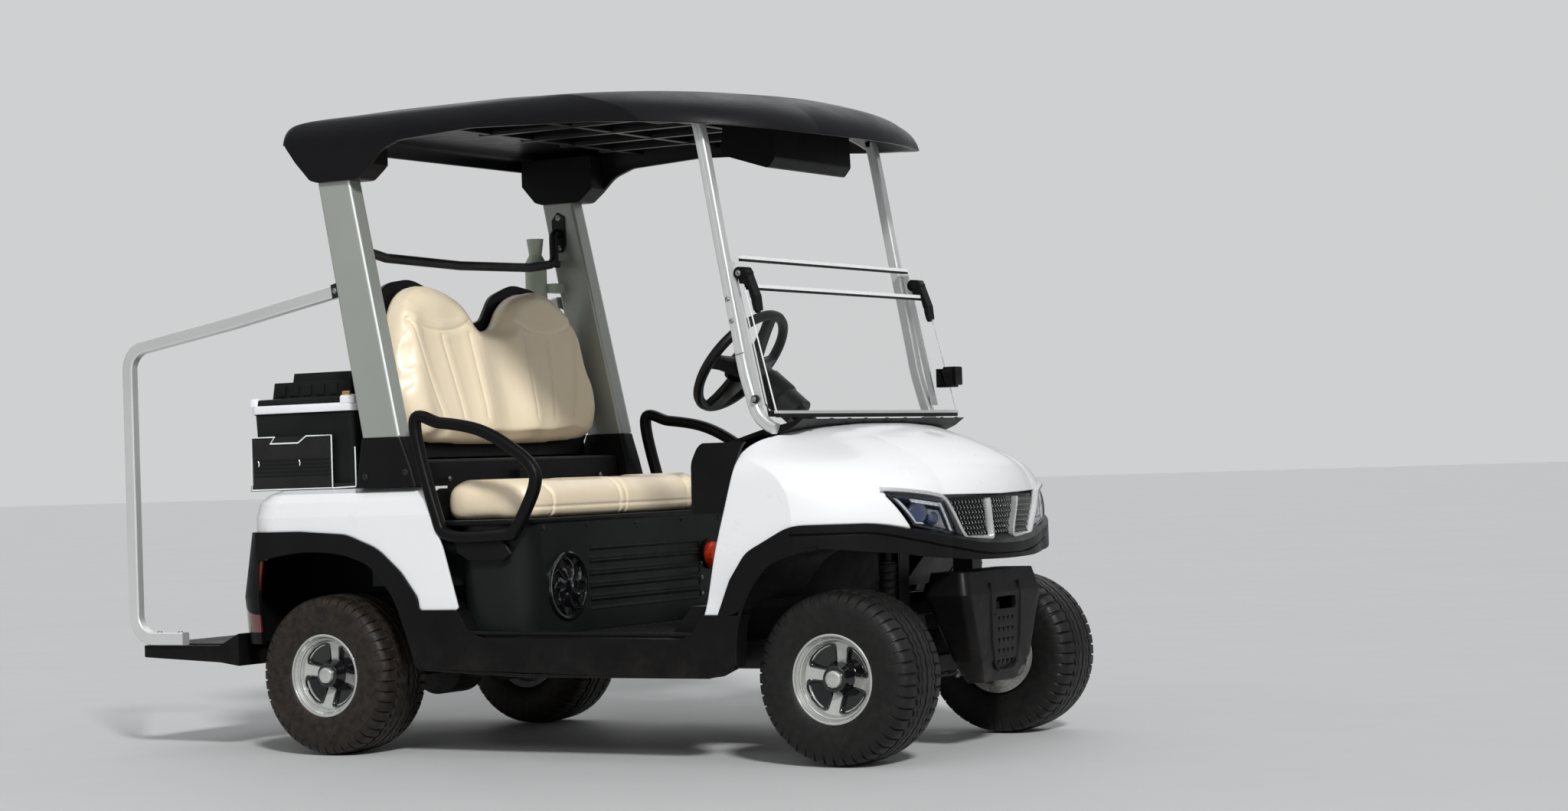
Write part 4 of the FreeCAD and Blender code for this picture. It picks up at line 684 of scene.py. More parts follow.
def soft(name, rings, bound, cap, sew, body, node):
    slab = Bag()
    slab.rings(rings)
    obj = bpy.data.objects.new(name, slab.mesh(name))
    bpy.context.collection.objects.link(obj)
    remesh = obj.modifiers.new("remesh", "REMESH")
    remesh.mode = "VOXEL"
    remesh.voxel_size = VOXEL
    settled(obj)
    store(obj.data, bound(eased(obj.data, 10)))
    blown(obj, cap, bound)
    store(obj.data, bound(eased(obj.data, 9)))
    fine = obj.modifiers.new("fine", "SUBSURF")
    fine.levels = fine.render_levels = 1
    settled(obj)
    co = vertex_rows(obj.data)
    store(obj.data, bound(co + sew(co, vertex_rows(obj.data, "normal"))))
    obj.data.materials.clear()
    obj.data.materials.append(cream)
    obj.data.shade_smooth()
    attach(obj, body)
    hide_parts(node)


# Seat cushion
CUSHION_X, CUSHION_HALF_X, CUSHION_HALF_Y = 495, 172, 491
CUSHION_LEVELS = ((662, 10), (670, 2), (704, 0), (734, 3), (748, 14), (754, 34))
CUSHION_LIMITS = (at(318, -498, 660.3), at(676, 498, 772))
SEAM_Z = 690


def cushion_rings():
    return [
        [at(CUSHION_X + (CUSHION_HALF_X - inset) * squared(c, 0.30),
            (CUSHION_HALF_Y - inset) * squared(s, 0.25), z) for c, s in circle(96)]
        for z, inset in CUSHION_LEVELS
    ]


def cushion_bound(co):
    return np.clip(co, *np.array(CUSHION_LIMITS))


def cushion_sew(co, normals):
    flat = co[:, :2] * 1000
    flat[:, 0] += MID_X
    shift = np.zeros_like(co)
    top = np.clip(normals[:, 2], 0, 1)[:, None]
    lines = [[(322, s * 16), (676, s * 16)] for s in SIDES]
    for s in SIDES:
        side = [(322, 330), (420, 352), (560, 372), (640, 360), (676, 330)]
        lines.append(curve2([(x, s * y) for x, y in side]))
    for line in lines:
        gap = line_distance(flat, line)
        shift -= normals * (0.0055 * bell(gap, 0, 5.0))[:, None]
        shift += normals * top * (0.002 * bell(gap, 22, 14.0))[:, None]
    bolster = np.clip((np.abs(flat[:, 1]) - 365) / 40, 0, 1)
    shift += normals * top * (0.007 * bolster * bolster * (3 - 2 * bolster) - 0.003)[:, None]
    front = np.where(normals[:, 0] > 0.5, np.abs(co[:, 2] * 1000 - SEAM_Z), 100)
    return shift - normals * (0.003 * bell(front, 0, 4.0))[:, None]


soft("seat_pad", cushion_rings(), cushion_bound, 0.015, cushion_sew, "cushion_body",
     "seat_cushion")

# Seat back, drawn upright and then leaned
LEAN = math.radians(12.0)
BACK_TURN = Matrix.Translation(at(287, 0, 862)) @ Matrix.Rotation(-LEAN, 4, "Y")
BACK_LIMITS = ((-0.0858, -0.519, -0.004), (0.012, 0.519, 0.530))
BACK_LEVELS = ((-85, 22), (-79, 8), (-66, 2), (-52, 6), (-42, 16), (-36, 30))
BACK_WIDTH = 0.948
BACK_OUTLINE = [
    (-440, 0), (-515, 60), (-545, 190), (-500, 400), (-400, 510), (-264, 528), (-140, 490),
    (-60, 412), (0, 398), (60, 412), (140, 490), (264, 528), (400, 510), (500, 400), (545, 190),
    (515, 60), (440, 0),
]
LOBE_Y = 264


def chaikin(points, rounds):
    """Corner cutting of a closed flat line."""
    for _ in range(rounds):
        fresh = []
        for a, b in zip(points, points[1:] + points[:1]):
            fresh.append((a[0] * 0.75 + b[0] * 0.25, a[1] * 0.75 + b[1] * 0.25))
            fresh.append((a[0] * 0.25 + b[0] * 0.75, a[1] * 0.25 + b[1] * 0.75))
        points = fresh
    return points


def inset_outline(points, distance):
    """Offset a closed flat outline inwards (anticlockwise or clockwise)."""
    pts = np.array(points)
    before, after = np.roll(pts, 1, 0), np.roll(pts, -1, 0)
    run = after - before
    normal = np.stack([-run[:, 1], run[:, 0]], 1) / np.linalg.norm(run, axis=1)[:, None]
    area = 0.5 * np.sum(pts[:, 0] * after[:, 1] - after[:, 0] * pts[:, 1])
    return [tuple(p) for p in pts + normal * distance * (1 if area > 0 else -1)]


def back_rings():
    outline = chaikin([(y * BACK_WIDTH, z) for y, z in BACK_OUTLINE], 3)
    return [
        [BACK_TURN @ Vector((x / 1000, y / 1000, z / 1000))
         for y, z in inset_outline(outline, inset)]
        for x, inset in BACK_LEVELS
    ]


def turned_by(matrix, co):
    m = np.array(matrix)
    return co @ m[:3, :3].T + m[:3, 3]


def back_bound(co):
    return turned_by(BACK_TURN, np.clip(turned_by(BACK_TURN.inverted(), co), *BACK_LIMITS))


def back_sew(co, normals):
    flat = turned_by(BACK_TURN.inverted(), co)[:, 1:] * 1000
    ahead = np.array(BACK_TURN)[:3, 0]
    facing = np.clip((normals @ ahead - 0.25) / 0.5, 0, 1)
    shift = np.zeros_like(co)
    lines = []
    for s in (-1, 1):
        smile = [(412, 392), (350, 366), (LOBE_Y, 356), (180, 366), (122, 388)]
        lines.append((smile, s, 4.0, 4.5))
        for foot, head, top in ((330, 410, 390), (232, 268, 340), (128, 140, 350)):
            middle = foot * 0.52 + head * 0.48
            lines.append(([(foot, 96), (middle, 220), (head, top)], s, 3.6, 3.8))
    for line, s, deep, wide in lines:
        gap = line_distance(flat, curve2([(s * y, z) for y, z in line]))
        shift -= ahead * (deep / 1000 * facing * bell(gap, 0, wide))[:, None]
        shift += ahead * (deep / 2600 * facing * bell(gap, 20, 12.0))[:, None]
    off = np.abs(flat[:, 0])
    relief = np.zeros(len(co))
    for tall, middle, wide in ((19, 105, 62), (9, LOBE_Y, 110), (23, 425, 62)):
        relief += tall * bell(off, middle, wide)
    relief *= np.clip((flat[:, 1] + 40) / 160, 0, 1)
    relief += 12 * bell(off, LOBE_Y, 150) * bell(flat[:, 1], 455, 70)
    return shift + ahead * (relief / 1000 * facing)[:, None]


soft("seat_back_pad", back_rings(), back_bound, 0.022, back_sew, "chassis", "seat_back")

# Small pieces are collected by finish and body, and made at the end
bags = {}


def bag(name, look, slot_name=None, body="chassis"):
    bags[name] = (Bag(), look, body, slot_name or look)
    return bags[name][0]


def rounded_ring(box, out, z, radius, steps=6):
    """A rounded rectangle (x0, x1, y0, y1) grown by out, at one level."""
    x0, x1, y0, y1 = box
    ring = []
    for cx, cy, start in (
        (x1 + out - radius, y1 + out - radius, 0), (x0 - out + radius, y1 + out - radius, 90),
        (x0 - out + radius, y0 - out + radius, 180), (x1 + out - radius, y0 - out + radius, 270),
    ):
        for k in range(steps + 1):
            angle = math.radians(start + 90 * k / steps)
            ring.append(at(cx + radius * math.cos(angle), cy + radius * math.sin(angle), z))
    return ring


def stacked(target, box, levels, radius, steps=6, round_trip=False):
    """Rounded rectangles at (out, z) levels skinned into one piece."""
    rings = [rounded_ring(box, out, z, radius, steps) for out, z in levels]
    target.rings(rings, round_trip=round_trip)


screws = bag("screws", "steel")
dark_screws = bag("dark_screws", "steel_black")

# Cooler: white lid band, corner block, latch, ribs and wire frame
COOLER = (-294.0, 78.0, -520.0, -250.0)
CX0, CX1, CY0, CY1 = COOLER
LID = "cooler_lid_body"
lid_white = bag("cooler_lid_band", "white_lid", "cooler_black", LID)
lid_white.rings([rounded_ring(COOLER, out, z, corner) for out, z, corner in (
    (1.0, 982, 24), (7.5, 982.5, 26), (8.5, 985, 27), (8.0, 1003, 27), (6.5, 1006, 26),
    (1.0, 1006, 24),
)], round_trip=True)
for y0, y1 in ((CY0 - 8, CY0 + 22), (CY1 - 22, CY1 + 8)):
    for x0, x1 in ((CX1 - 46, CX1 + 7), (CX0 - 7, CX0 + 22)):
        levels = ((0, 1004), (0, 1022), (-3, 1027), (-8, 1029))
        stacked(lid_white, (x0, x1, y0, y1), levels, 7, 4)
inset_bag = bag("cooler_lid_inset", "cooler_black", body=LID)
stacked(inset_bag, (CX0, CX1 - 48, CY0, CY1),
        ((-4, 1006), (3.5, 1007), (1.0, 1020), (-6, 1024), (-20, 1025)), 20)
for k in range(5):
    x = CX0 + 60 + k * 48
    inset_bag.beam(x, x + 32, CY0 + 37.5, CY0 + 42, 1032, 1064, 2.0)
latch = bag("cooler_latch", "brass", "steel", LID)
latch.turned([(4.5, 0), (5.5, 1), (5.5, 26), (4.5, 27)], at(CX1 - 34, CY0 - 3, 1033), (1, 0, 0),
             16)
latch.beam(CX1 - 36, CX1 - 6, CY0 - 6, CY0 + 6, 1028, 1031)
rib_bag = bag("cooler_ribs", "cooler_black")
for k in range(7):
    z = 806 + k * 10
    levels = ((-3.5, z), (0.6, z + 1.2), (0.6, z + 4.2), (-3.5, z + 5.4))
    stacked(rib_bag, (CX0 + 8, CX1 - 8, CY0 + 6, CY1 - 6), levels, 21, round_trip=True)
wire = bag("cooler_wire", "bright_edge", "aluminium")
PANEL_TOP, POCKET_TOP, WIRE_Y = 914.0, 895.0, -534.5
wire.tube(on_plane((
    (-292, 762), (-292, PANEL_TOP), (-203, PANEL_TOP), (-220, POCKET_TOP), (-116, POCKET_TOP),
    (-86, PANEL_TOP), (6, PANEL_TOP), (6, 762),
), WIRE_Y), 2.4, 8, closed=True)
wire.tube([at(88, -531, 764), at(88, -531, 878)], 2.0, 8)
wire.tube([at(6, WIRE_Y, 762), at(88, -531, 764)], 2.0, 8)
pocket_bag = bag("cooler_pocket_ribs", "cooler_black")
for k in range(5):
    pocket_bag.beam(-280, -8, -534.6, -531.4, 800 + k * 11, 805 + k * 11, 1.0)
for x in (-262, -110):
    wire.tube([at(x - 4, -535.5, 846), at(x, -536.5, 838), at(x - 2, -535.5, 830)], 1.4, 6)

# Struts: a painted highlight as a bright line along the front corner, flange bolts
bright = bag("strut_corner_highlight", "bright_edge", "aluminium")
for s in SIDES:
    bright.tube([at(293, s * 591.5, 903), at(132.5, s * 584.5, 1650)], 3.2, 8)
    for x, z in ((170, 790), (312, 800), (192, 878)):
        dark_screws.bolt(at(x, s * 592.2, z), (0, s, 0), 6.5, 3.5)

# Armrests: one rounded loop each, with a foot plate
ARM_LINE = [
    (350, 937), (436, 934), (555, 914), (650, 873), (738, 810), (750, 748), (682, 632),
    (644, 618), (462, 620), (412, 690),
]
ARM_FOOT = [(470, 604), (640, 602), (664, 566), (640, 548), (520, 548), (478, 572)]
ARM_SECTION = [(16.5 * squared(c, 0.75), 17.2 * squared(d, 0.75)) for c, d in circle(20)]
arm_bag = Bag()
for s in SIDES:
    arm_bag.swept(loop(on_plane(ARM_LINE, s * 592), 110), ARM_SECTION, closed=True)
    arm_bag.plate(ARM_FOOT, 578 if s > 0 else -590, 12, 4)
arm_bag.stand_in("armrest_loops", "black_moulding", "armrests")

# Floor and toe board: the board stands further forward than the solid one
FLOOR_TOP = 338.0
floor_bag = Bag()
floor_bag.plate([(430, 314), (1278, 314), (1290, 418), (1218, 418), (1148, FLOOR_TOP),
                 (430, FLOOR_TOP)], -547.5, 1095, 2)
floor_bag.plate([(1296, 398), (1428, 655), (1414, 661), (1282, 404)], -566, 1132, 2)
for k in range(14):
    x = 760 + k * 26
    floor_bag.beam(x, x + 10, -487, 487, FLOOR_TOP - 1, FLOOR_TOP + 4, 1)
floor_bag.stand_in("floor_and_toe_board", "black_moulding", "floor_pan")

# Grab bar: end flanges and clamp bolts
FLANGE = [(66, 1478), (104, 1478), (116, 1500), (112, 1590), (84, 1606), (62, 1580)]
flange = bag("grab_flanges", "steel_black")
for s in SIDES:
    flange.plate(FLANGE, 526.0 if s > 0 else -529.0, 3.0)
    for x, z in ((88, 1588), (90, 1492)):
        screws.bolt(at(x, s * 526.2, z), (0, -s, 0), 6.0, 4.0)
    flange.turned([(17, 0), (19, 2), (19, 20), (17, 22)], at(94, s * 489, 1430), (0.2, 0, 1), 20)
    screws.bolt(at(110, s * 489, 1442), (1, 0, 0), 5.0, 4.0)

# Windshield: grooved posts, bright top strips, a painted highlight along each pane side edge, foot
# channel, gaskets, bolts in the posts
RAKE = math.tan(math.radians(12))
POST_FOOT = (1426.0, 905)
POST_Y = 486
POST_LINE = [
    (1458, 881), (1434, 893), (1404, 924), (1383, 986), (1367, 1046), (1352, 1130),
    (1310, 1360), (1251, 1690), (1232, 1722), (1184, 1752),
]
POST_SECTION = [
    (-14, -12), (-11, -15), (-1, -15), (0, -13), (2, -13), (3, -15), (11, -15), (14, -12),
    (14, 12), (11, 15), (-11, 15), (-14, 12),
]


def post_x(z):
    """Centre of the solid posts."""
    return POST_FOOT[0] - RAKE * (z - POST_FOOT[1])


def post_line_x(z):
    """Centre of the drawn posts."""
    return float(np.interp(z, [p[1] for p in POST_LINE], [p[0] for p in POST_LINE]))


post_bag = Bag()
for s in SIDES:
    line = spline(on_plane(POST_LINE, s * POST_Y), 90)
    post_bag.swept(line, [(u, -s * v) for u, v in POST_SECTION], forward=True)
post_bag.stand_in("windshield_post_bars", "aluminium", "windshield_posts")
strip = bag("pane_strips", "bright_edge", "aluminium")
gasket = bag("pane_gasket", "grip_black")
for x, z, half in ((post_x(1343) + 18.7, 1336, 470), (1388, 1257, 500)):
    for target, low, high in ((strip, 2.0, 11.0), (gasket, -4.0, 2.0)):
        outline = [(x - 3, z + low), (x + 10, z + low), (x + 9, z + high), (x - 4, z + high)]
        target.plate(outline, -half, 2 * half, 1.2)
channel = bag("pane_channel", "aluminium")
channel.plate([(1471, 921), (1489, 921), (1488, 929), (1470, 929)], -516, 1032, 1.5)
gasket.plate([(1472, 911), (1488, 911), (1488, 921), (1472, 921)], -512, 1024, 1.5)
gasket.plate([(1441, 914), (1452, 914), (1449, 930), (1438, 930)], -497, 994, 2.0)
for s in SIDES:
    # A thin bright line along the pane's side edge: a painted highlight of the glass edge
    strip.tube([at(1480, s * 517.4, 926), at(1395, s * 517.4, 1258)], 1.5, 6)
    for z in (1231, 1172):
        screws.bolt(at(post_line_x(z) - 4, s * 501.2, z), (0, s, 0), 4.6, 3.0)
    gasket.turned([(9, -3), (11, 0), (11, 9), (8, 13), (4, 13.5)], at(1408, s * 500, 962),
                  (0, s, 0), 18)
    screws.bolt(at(1408, s * 513, 962), (0, s, 0), 5.0, 3.0)
    x = post_line_x(1083)
    gasket.tube([at(x - 14, s * 501.3, 1080), at(x + 14, s * 501.3, 1087)], 1.0, 5)
    inner = [(post_line_x(z) + 15, z) for z in (945, 1330)]
    channel.plate(inner + [(post_x(z) + 11, z) for z in (1330, 945)], 488 if s > 0 else -499, 11,
                  0.8)

# Windshield hinges: knobs and a slotted lever; latch
HINGE_Y = 490.0
LEVER = [(1383, 1286), (1400, 1262), (1414, 1230), (1417, 1194)]
hinge = bag("pane_hinges", "black_moulding")
for s in SIDES:
    y = s * HINGE_Y
    hinge.turned([(13, -17), (17, -14), (17, 14), (13, 17)], at(1369, y, 1298), AXLE, 20)
    hinge.turned([(9, -14), (12, -11), (12, 11), (9, 14)], at(1389, y, 1296), AXLE, 18)
    for dy in (-10.0, 6.0):
        hinge.tube(spline(on_plane(LEVER, y + dy), 12), 4.5, 8)
    for x, z in (LEVER[3], LEVER[1]):
        hinge.tube([at(x, y - 10, z), at(x, y + 6, z)], 5.0, 8)
    screws.bolt(at(1369, y + s * 17, 1298), (0, s, 0), 5.5, 3.0)
latch_bag = bag("pane_latch", "black_moulding")
latch_bag.beam(1448, 1490, 502, 544, 1002, 1056, 3)
latch_bag.beam(1434, 1450, 484, 512, 998, 1038, 3)

# Cowl: screws along the scuttle
for y in (-410, -310, -213, -121, 0, 107, 215, 330, 420):
    dark_screws.bolt(at(1530, y, 905), (0.15, 0, 1), 4.5, 2.5)

# Seat base: tray lip under the cushion, screws and louvre lips on its front
BASE_FRONT = 690
tray_bag = bag("seat_tray", "black_moulding")
tray_bag.rings([
    rounded_ring((360, 688, -576 + 0.7 * out, 576 - 0.7 * out), out, z, 74, 10)
    for out, z in ((-6, 646), (5, 647), (7, 650), (7, 656), (5, 659.4), (-6, 659.6))
])
for y in (-470, -250, 0, 250, 460):
    dark_screws.bolt(at(BASE_FRONT + 0.5, y, 634), (1, 0, 0.05), 5.0, 2.5)
for z in (408, 457, 501):
    screws.bolt(at(BASE_FRONT + 0.6, 352, z), (1, 0, 0), 4.0, 3.0)
for y, z in ((-380, 778), (2, 804), (392, 774)):
    screws.bolt(at(308, y, z), (1, 0, 0), 5.0, 4.0)
tray_bag.beam(306, 322, -52, 14, 770, 800, 3)
louvre = bag("louvre_lips", "dark_grey_moulding")
for k in range(5):
    for x, z, radius in ((0.5, 423.5, 2.6), (0.3, 395.5, 1.8)):
        ends = [at(BASE_FRONT + x, y, z + 36 * k) for y in (-244, 336)]
        louvre.tube(ends, radius, 8)

# Speaker: ring, boss and swirl blades
SPEAKER_Y, SPEAKER_Z = -362, 468
ring_bag = bag("speaker_ring", "gloss_black", "mesh_black")
speaker = at(BASE_FRONT, SPEAKER_Y, SPEAKER_Z)
ring_bag.turned([(84, 4), (86, 8), (92, 9), (96, 6), (97, 2), (97, 0)], speaker, (1, 0, 0), 64,
                caps=False)
ring_bag.turned([(22, 2), (20, 9), (14, 12), (0.01, 13)], speaker, (1, 0, 0), 40)
for index in range(7):
    rings = []
    for step in range(12):
        t = step / 11
        radius = 20 + 62 * t
        middle = 2 * math.pi * index / 7 + 0.9 * t * t
        half = (4 + 9 * math.sin(math.pi * min(1.0, t * 1.1))) / radius
        rings.append([
            at(BASE_FRONT + lift, SPEAKER_Y + radius * math.cos(middle + side * half),
               SPEAKER_Z + radius * math.sin(middle + side * half))
            for side, lift in ((-1, 3.0), (-0.4, 8.0), (0.5, 9.0), (1, 4.0))
        ])
    ring_bag.rings(rings)

# Charge cap: collar and finger ribs
CAP_Y, CAP_Z = 392, 525
cap_place = at(BASE_FRONT, CAP_Y, CAP_Z)
cap_bag = bag("charge_collar", "black_moulding")
cap_bag.turned([(38, 0), (44, 1), (45, 5), (42, 8), (38, 8)], cap_place, (1, 0, 0), 40,
               caps=False)
red = bag("charge_grip", "red_cap")
red.turned([(29, 24), (30, 26.5), (27, 28.5), (0.01, 29)], cap_place, (1, 0, 0), 40)
for c, d in circle(18):
    red.tube([at(BASE_FRONT + x, CAP_Y + r * c, CAP_Z + r * d) for x, r in ((3, 37), (16, 36.8))],
             1.8, 6)

# Rolled arch edges, the border of the sill and its step
ROLL_Y, SILL_Y = 603.4, 606.6
FRONT_ARCH = [(-270, 264), (-262, 366), (-222, 460), (-150, 536), (-80, 557), (-14, 566)]
REAR_ARCH = [
    (400, 250), (345, 258), (328, 302), (304, 367), (266, 455), (186, 544), (75, 578),
    (-67, 585), (-214, 563),
]
SILL_STEP = [
    (371, 350), (392, 324), (424, 311), (474, 303), (640, 297), (844, 291), (1047, 286),
    (1200, 283), (1236, 294), (1258, 330),
]
SILL_FOOT = [(400, 250), (700, 236), (1300, 236), (1380, 264)]
roll = bag("arch_rolls", "black_moulding")
for s in SIDES:
    for points, shift, y, radius in (
        (FRONT_ARCH, FRONT, ROLL_Y, 6.0), (REAR_ARCH, 0.0, ROLL_Y, 6.0),
        (SILL_STEP, 0.0, SILL_Y, 3.2),
    ):
        roll.tube(spline(on_plane(points, s * y, shift), 60), radius, 10)
    roll.tube(on_plane(SILL_FOOT, s * ROLL_Y), 6.0, 10)
    roll.tube(on_plane(((380, 352), (1262, 345)), s * 603), 6.5, 10)

# Tail lamps wrapped round the rear corners, with a bright cap on top that is a painted highlight
CORNER_R = 120.0
CORNER_Y = 476.0
tail_glass = bag("tail_lamp_glass", "red_lens")
tail_top_highlight = bag("tail_lamp_top_highlight", "bright_edge", "red_lens")


def tail_x(z):
    """The rear end of the bodywork at one height."""
    return -328 - 10 * min(1.0, (z - 318) / 134) + 34 * max(0.0, (z - 452) / 188)


def corner_row(s, z, grow, angles):
    """Points round a rear corner, grown outwards."""
    radius = CORNER_R + grow
    middle = tail_x(z) + CORNER_R
    return [at(middle + radius * math.cos(a), s * (CORNER_Y + radius * math.sin(a)), z)
            for a in angles]


for s in SIDES:
    for target, low, high, steps, first, last in (
        (tail_glass, 352, 558, 12, 94, 150), (tail_top_highlight, 560, 566, 2, 88, 128),
    ):
        angles = [math.radians(first + (last - first) * k / 14) for k in range(15)]
        heights = [low + (high - low) * j / (steps - 1) for j in range(steps)]
        target.rings([
            corner_row(s, z, 3.0, angles) + corner_row(s, z, -3.0, angles)[::-1] for z in heights
        ])

# Rear rails: flange screws on the board, plate at the strut
for s in SIDES:
    for x in (-712, -640, -560):
        screws.bolt(at(x, s * 560, 350), (0, 0, 1), 6.0, 4.0)
    flange.plate([(60, 1300), (84, 1306), (78, 1346), (54, 1340)], 574 if s > 0 else -578, 4.0)
    screws.bolt(at(69, s * 578, 1323), (0, s, 0), 5.5, 3.5)

# Roof: underside stiffeners, slotted vent panel
under = bag("roof_stiffeners", "roof_black")
for y in (-420, -210, 0, 210, 420):
    under.rings([
        rounded_ring((330, 1120, y - half, y + half), 0, z, 8, 4)
        for half, z in ((22, 1800), (20, 1776), (12, 1768), (8, 1768))
    ])
vent = bag("roof_vent", "black_moulding")
for k in range(12):
    y = -440 + k * 18
    vent.beam(960, 1140, y, y + 9, 1752, 1760, 2)
for x in (955, 1045, 1135):
    vent.beam(x, x + 10, -446, -228, 1751, 1763, 2)
for y in (-452, -232):
    vent.beam(955, 1145, y, y + 10, 1751, 1790, 2)

# Inner wheel arches
LINER_Y, LINER_THICK = 547, 3
FRONT_LINER = [(-240, 428), (-221, 462), (-149, 538), (-60, 566), (20, 570)]
REAR_LINER = [
    (349, 262), (332, 304), (308, 369), (269, 458), (188, 547), (76, 582), (-67, 589),
    (-218, 566),
]
arch = bag("wheel_liners", "black_moulding")
for s in SIDES:
    for points, shift, inner in ((FRONT_LINER, FRONT, 300), (REAR_LINER, 0.0, 365)):
        line = spline([(x + shift, 0, z) for x, z in points], 28)
        arch.rings([[
            at(p.x, s * y, p.z + up_by)
            for y, up_by in ((LINER_Y, 0), (inner, 0), (inner, LINER_THICK), (LINER_Y, LINER_THICK))
        ] for p in line])

# Coils on the front spring legs
COIL_TURNS, COIL_POINTS, COIL_R = 8, 180, 0.0255
coil = bag("front_coils", "steel_black")
for s in SIDES:
    foot = at(FRONT + 2, s * 271, 268.5)
    head = at(FRONT + 2, s * 243, 545)
    axis = (head - foot).normalized()
    side = axis.orthogonal().normalized()
    other = axis.cross(side)
    line = []
    for k in range(COIL_POINTS + 1):
        t = 0.30 + 0.58 * k / COIL_POINTS
        angle = 2 * math.pi * COIL_TURNS * k / COIL_POINTS
        out = side * math.cos(angle) + other * math.sin(angle)
        line.append(foot + (head - foot) * t + out * COIL_R)
    coil.tube(line, 3.2, 6)

# Nose: lamps, silver frames and grille studs sit on one even surface fitted to the bodywork
nose = surface_of("front_body", "lamp_lenses")
OPENING_DEPTH, OPENING_TRUST, FIT_ROUNDS = 0.003, 0.01, 20


def nose_terms(y, z):
    a, b = (y / 480) ** 2, (z - 640) / 90
    return [1, a, a * a, a ** 3, b, b * b, b ** 3, a * b, a * b * b, a * a * b]


terms, depths = [], []
for y in range(-476, 477, 14):
    for z in range(560, 741, 9):
        place = nose.ray_cast(at(2400, y, z), Vector((-1, 0, 0)), 1.2)[0]
        if place is not None:
            terms.append(nose_terms(y, z))
            depths.append(place.x)
terms, depths = np.array(terms), np.array(depths)
trust = np.ones(len(depths))
for _ in range(FIT_ROUNDS):
    nose_fit = np.linalg.lstsq(terms * trust[:, None], depths * trust, rcond=None)[0]
    trust = np.where(depths - terms @ nose_fit < -OPENING_DEPTH, OPENING_TRUST, 1.0)


def smooth_skin(y, z):
    """The nose as one even surface, bridged over openings."""
    return Vector((float(np.dot(nose_terms(y, z), nose_fit)), y / 1000, z / 1000))


def outward(y, z):
    """The surface's normal."""
    a = smooth_skin(y + 8, z) - smooth_skin(y - 8, z)
    b = smooth_skin(y, z + 8) - smooth_skin(y, z - 8)
    n = a.cross(b).normalized()
    return n if n.x > 0 else -n


def behind_skin(y, z, depth):
    """A point depth (mm) behind the surface."""
    return smooth_skin(y, z) - outward(y, z) * (depth / 1000)


def rounded_line(points, radius, count=5):
    """Straight runs with rounded corners, flat, in steps of about 9 mm."""
    points = [Vector(p) for p in points]
    line = [points[0]]
    for a, b, c in zip(points, points[1:], points[2:]):
        r = min(radius, (a - b).length / 2.2, (c - b).length / 2.2)
        start = b + (a - b).normalized() * r
        end = b + (c - b).normalized() * r
        for k in range(count + 1):
            t = k / count
            line.append(start * (1 - t) ** 2 + b * 2 * t * (1 - t) + end * t * t)
    line.append(points[-1])
    dense = []
    for a, b in zip(line, line[1:]):
        steps = max(1, int((b - a).length / 9))
        dense.extend(a + (b - a) * (k / steps) for k in range(steps))
    dense.append(line[-1])
    return dense


def profile_on_skin(target, points, section):
    """A section of (sideways, outward) points in mm, drawn along flat points on the nose."""
    rings = []
    for i, p in enumerate(points):
        along = (points[min(i + 1, len(points) - 1)] - points[max(i - 1, 0)]).normalized()
        base = smooth_skin(p.x, p.y)
        normal = outward(p.x, p.y)
        sideways = Vector((0, -along.y, along.x))
        sideways = (sideways - normal * sideways.dot(normal)).normalized()
        rings.append([base + sideways * (u / 1000) + normal * (v / 1000) for u, v in section])
    target.rings(rings)


U_SECTION = [
    (-5.0, -6.0), (-5.0, 9.0), (-3.5, 10.5), (3.0, 10.5), (4.5, 9.0), (9.5, 1.0), (9.5, -6.0),
]
U_CORNERS = [(463, 712), (400, 706), (330, 697), (281, 688), (194, 574), (57, 571), (85, 679)]
frame_bag = Bag()
for s in SIDES:
    route = rounded_line([(s * y, z) for y, z in U_CORNERS], 18)
    profile_on_skin(frame_bag, route, [(u * -s, v) for u, v in U_SECTION])
frame_bag.stand_in("nose_frames", "chrome_trim", "grille_frames")

# Grille: a dark panel with close rows of studs, each with a bright sliver as a painted glint
GRILLE_TOP, GRILLE_FOOT, PANEL_DEPTH, PANEL_THICK = 686.0, 557.0, 8.0, 4.0
PANEL_ROWS, PANEL_HALF = 13, 14
STUD_PITCH_Y, STUD_PITCH_Z = 15.5, 14.0
STUD_FOOT, STUD_MARGIN = 572, 14
STUD = ((-10, 0.4, -1), (-4, 3.2, 3.0), (0, 4.0, 4.5), (4, 3.2, 3.0), (10, 0.4, -1))
GLINT = ((-6.0, 0.3, 3.0), (0, 1.2, 5.8), (6.0, 0.3, 3.0))


def grille_half(z):
    return float(np.interp(z, (557, 568, 686), (152, 196, 268)))


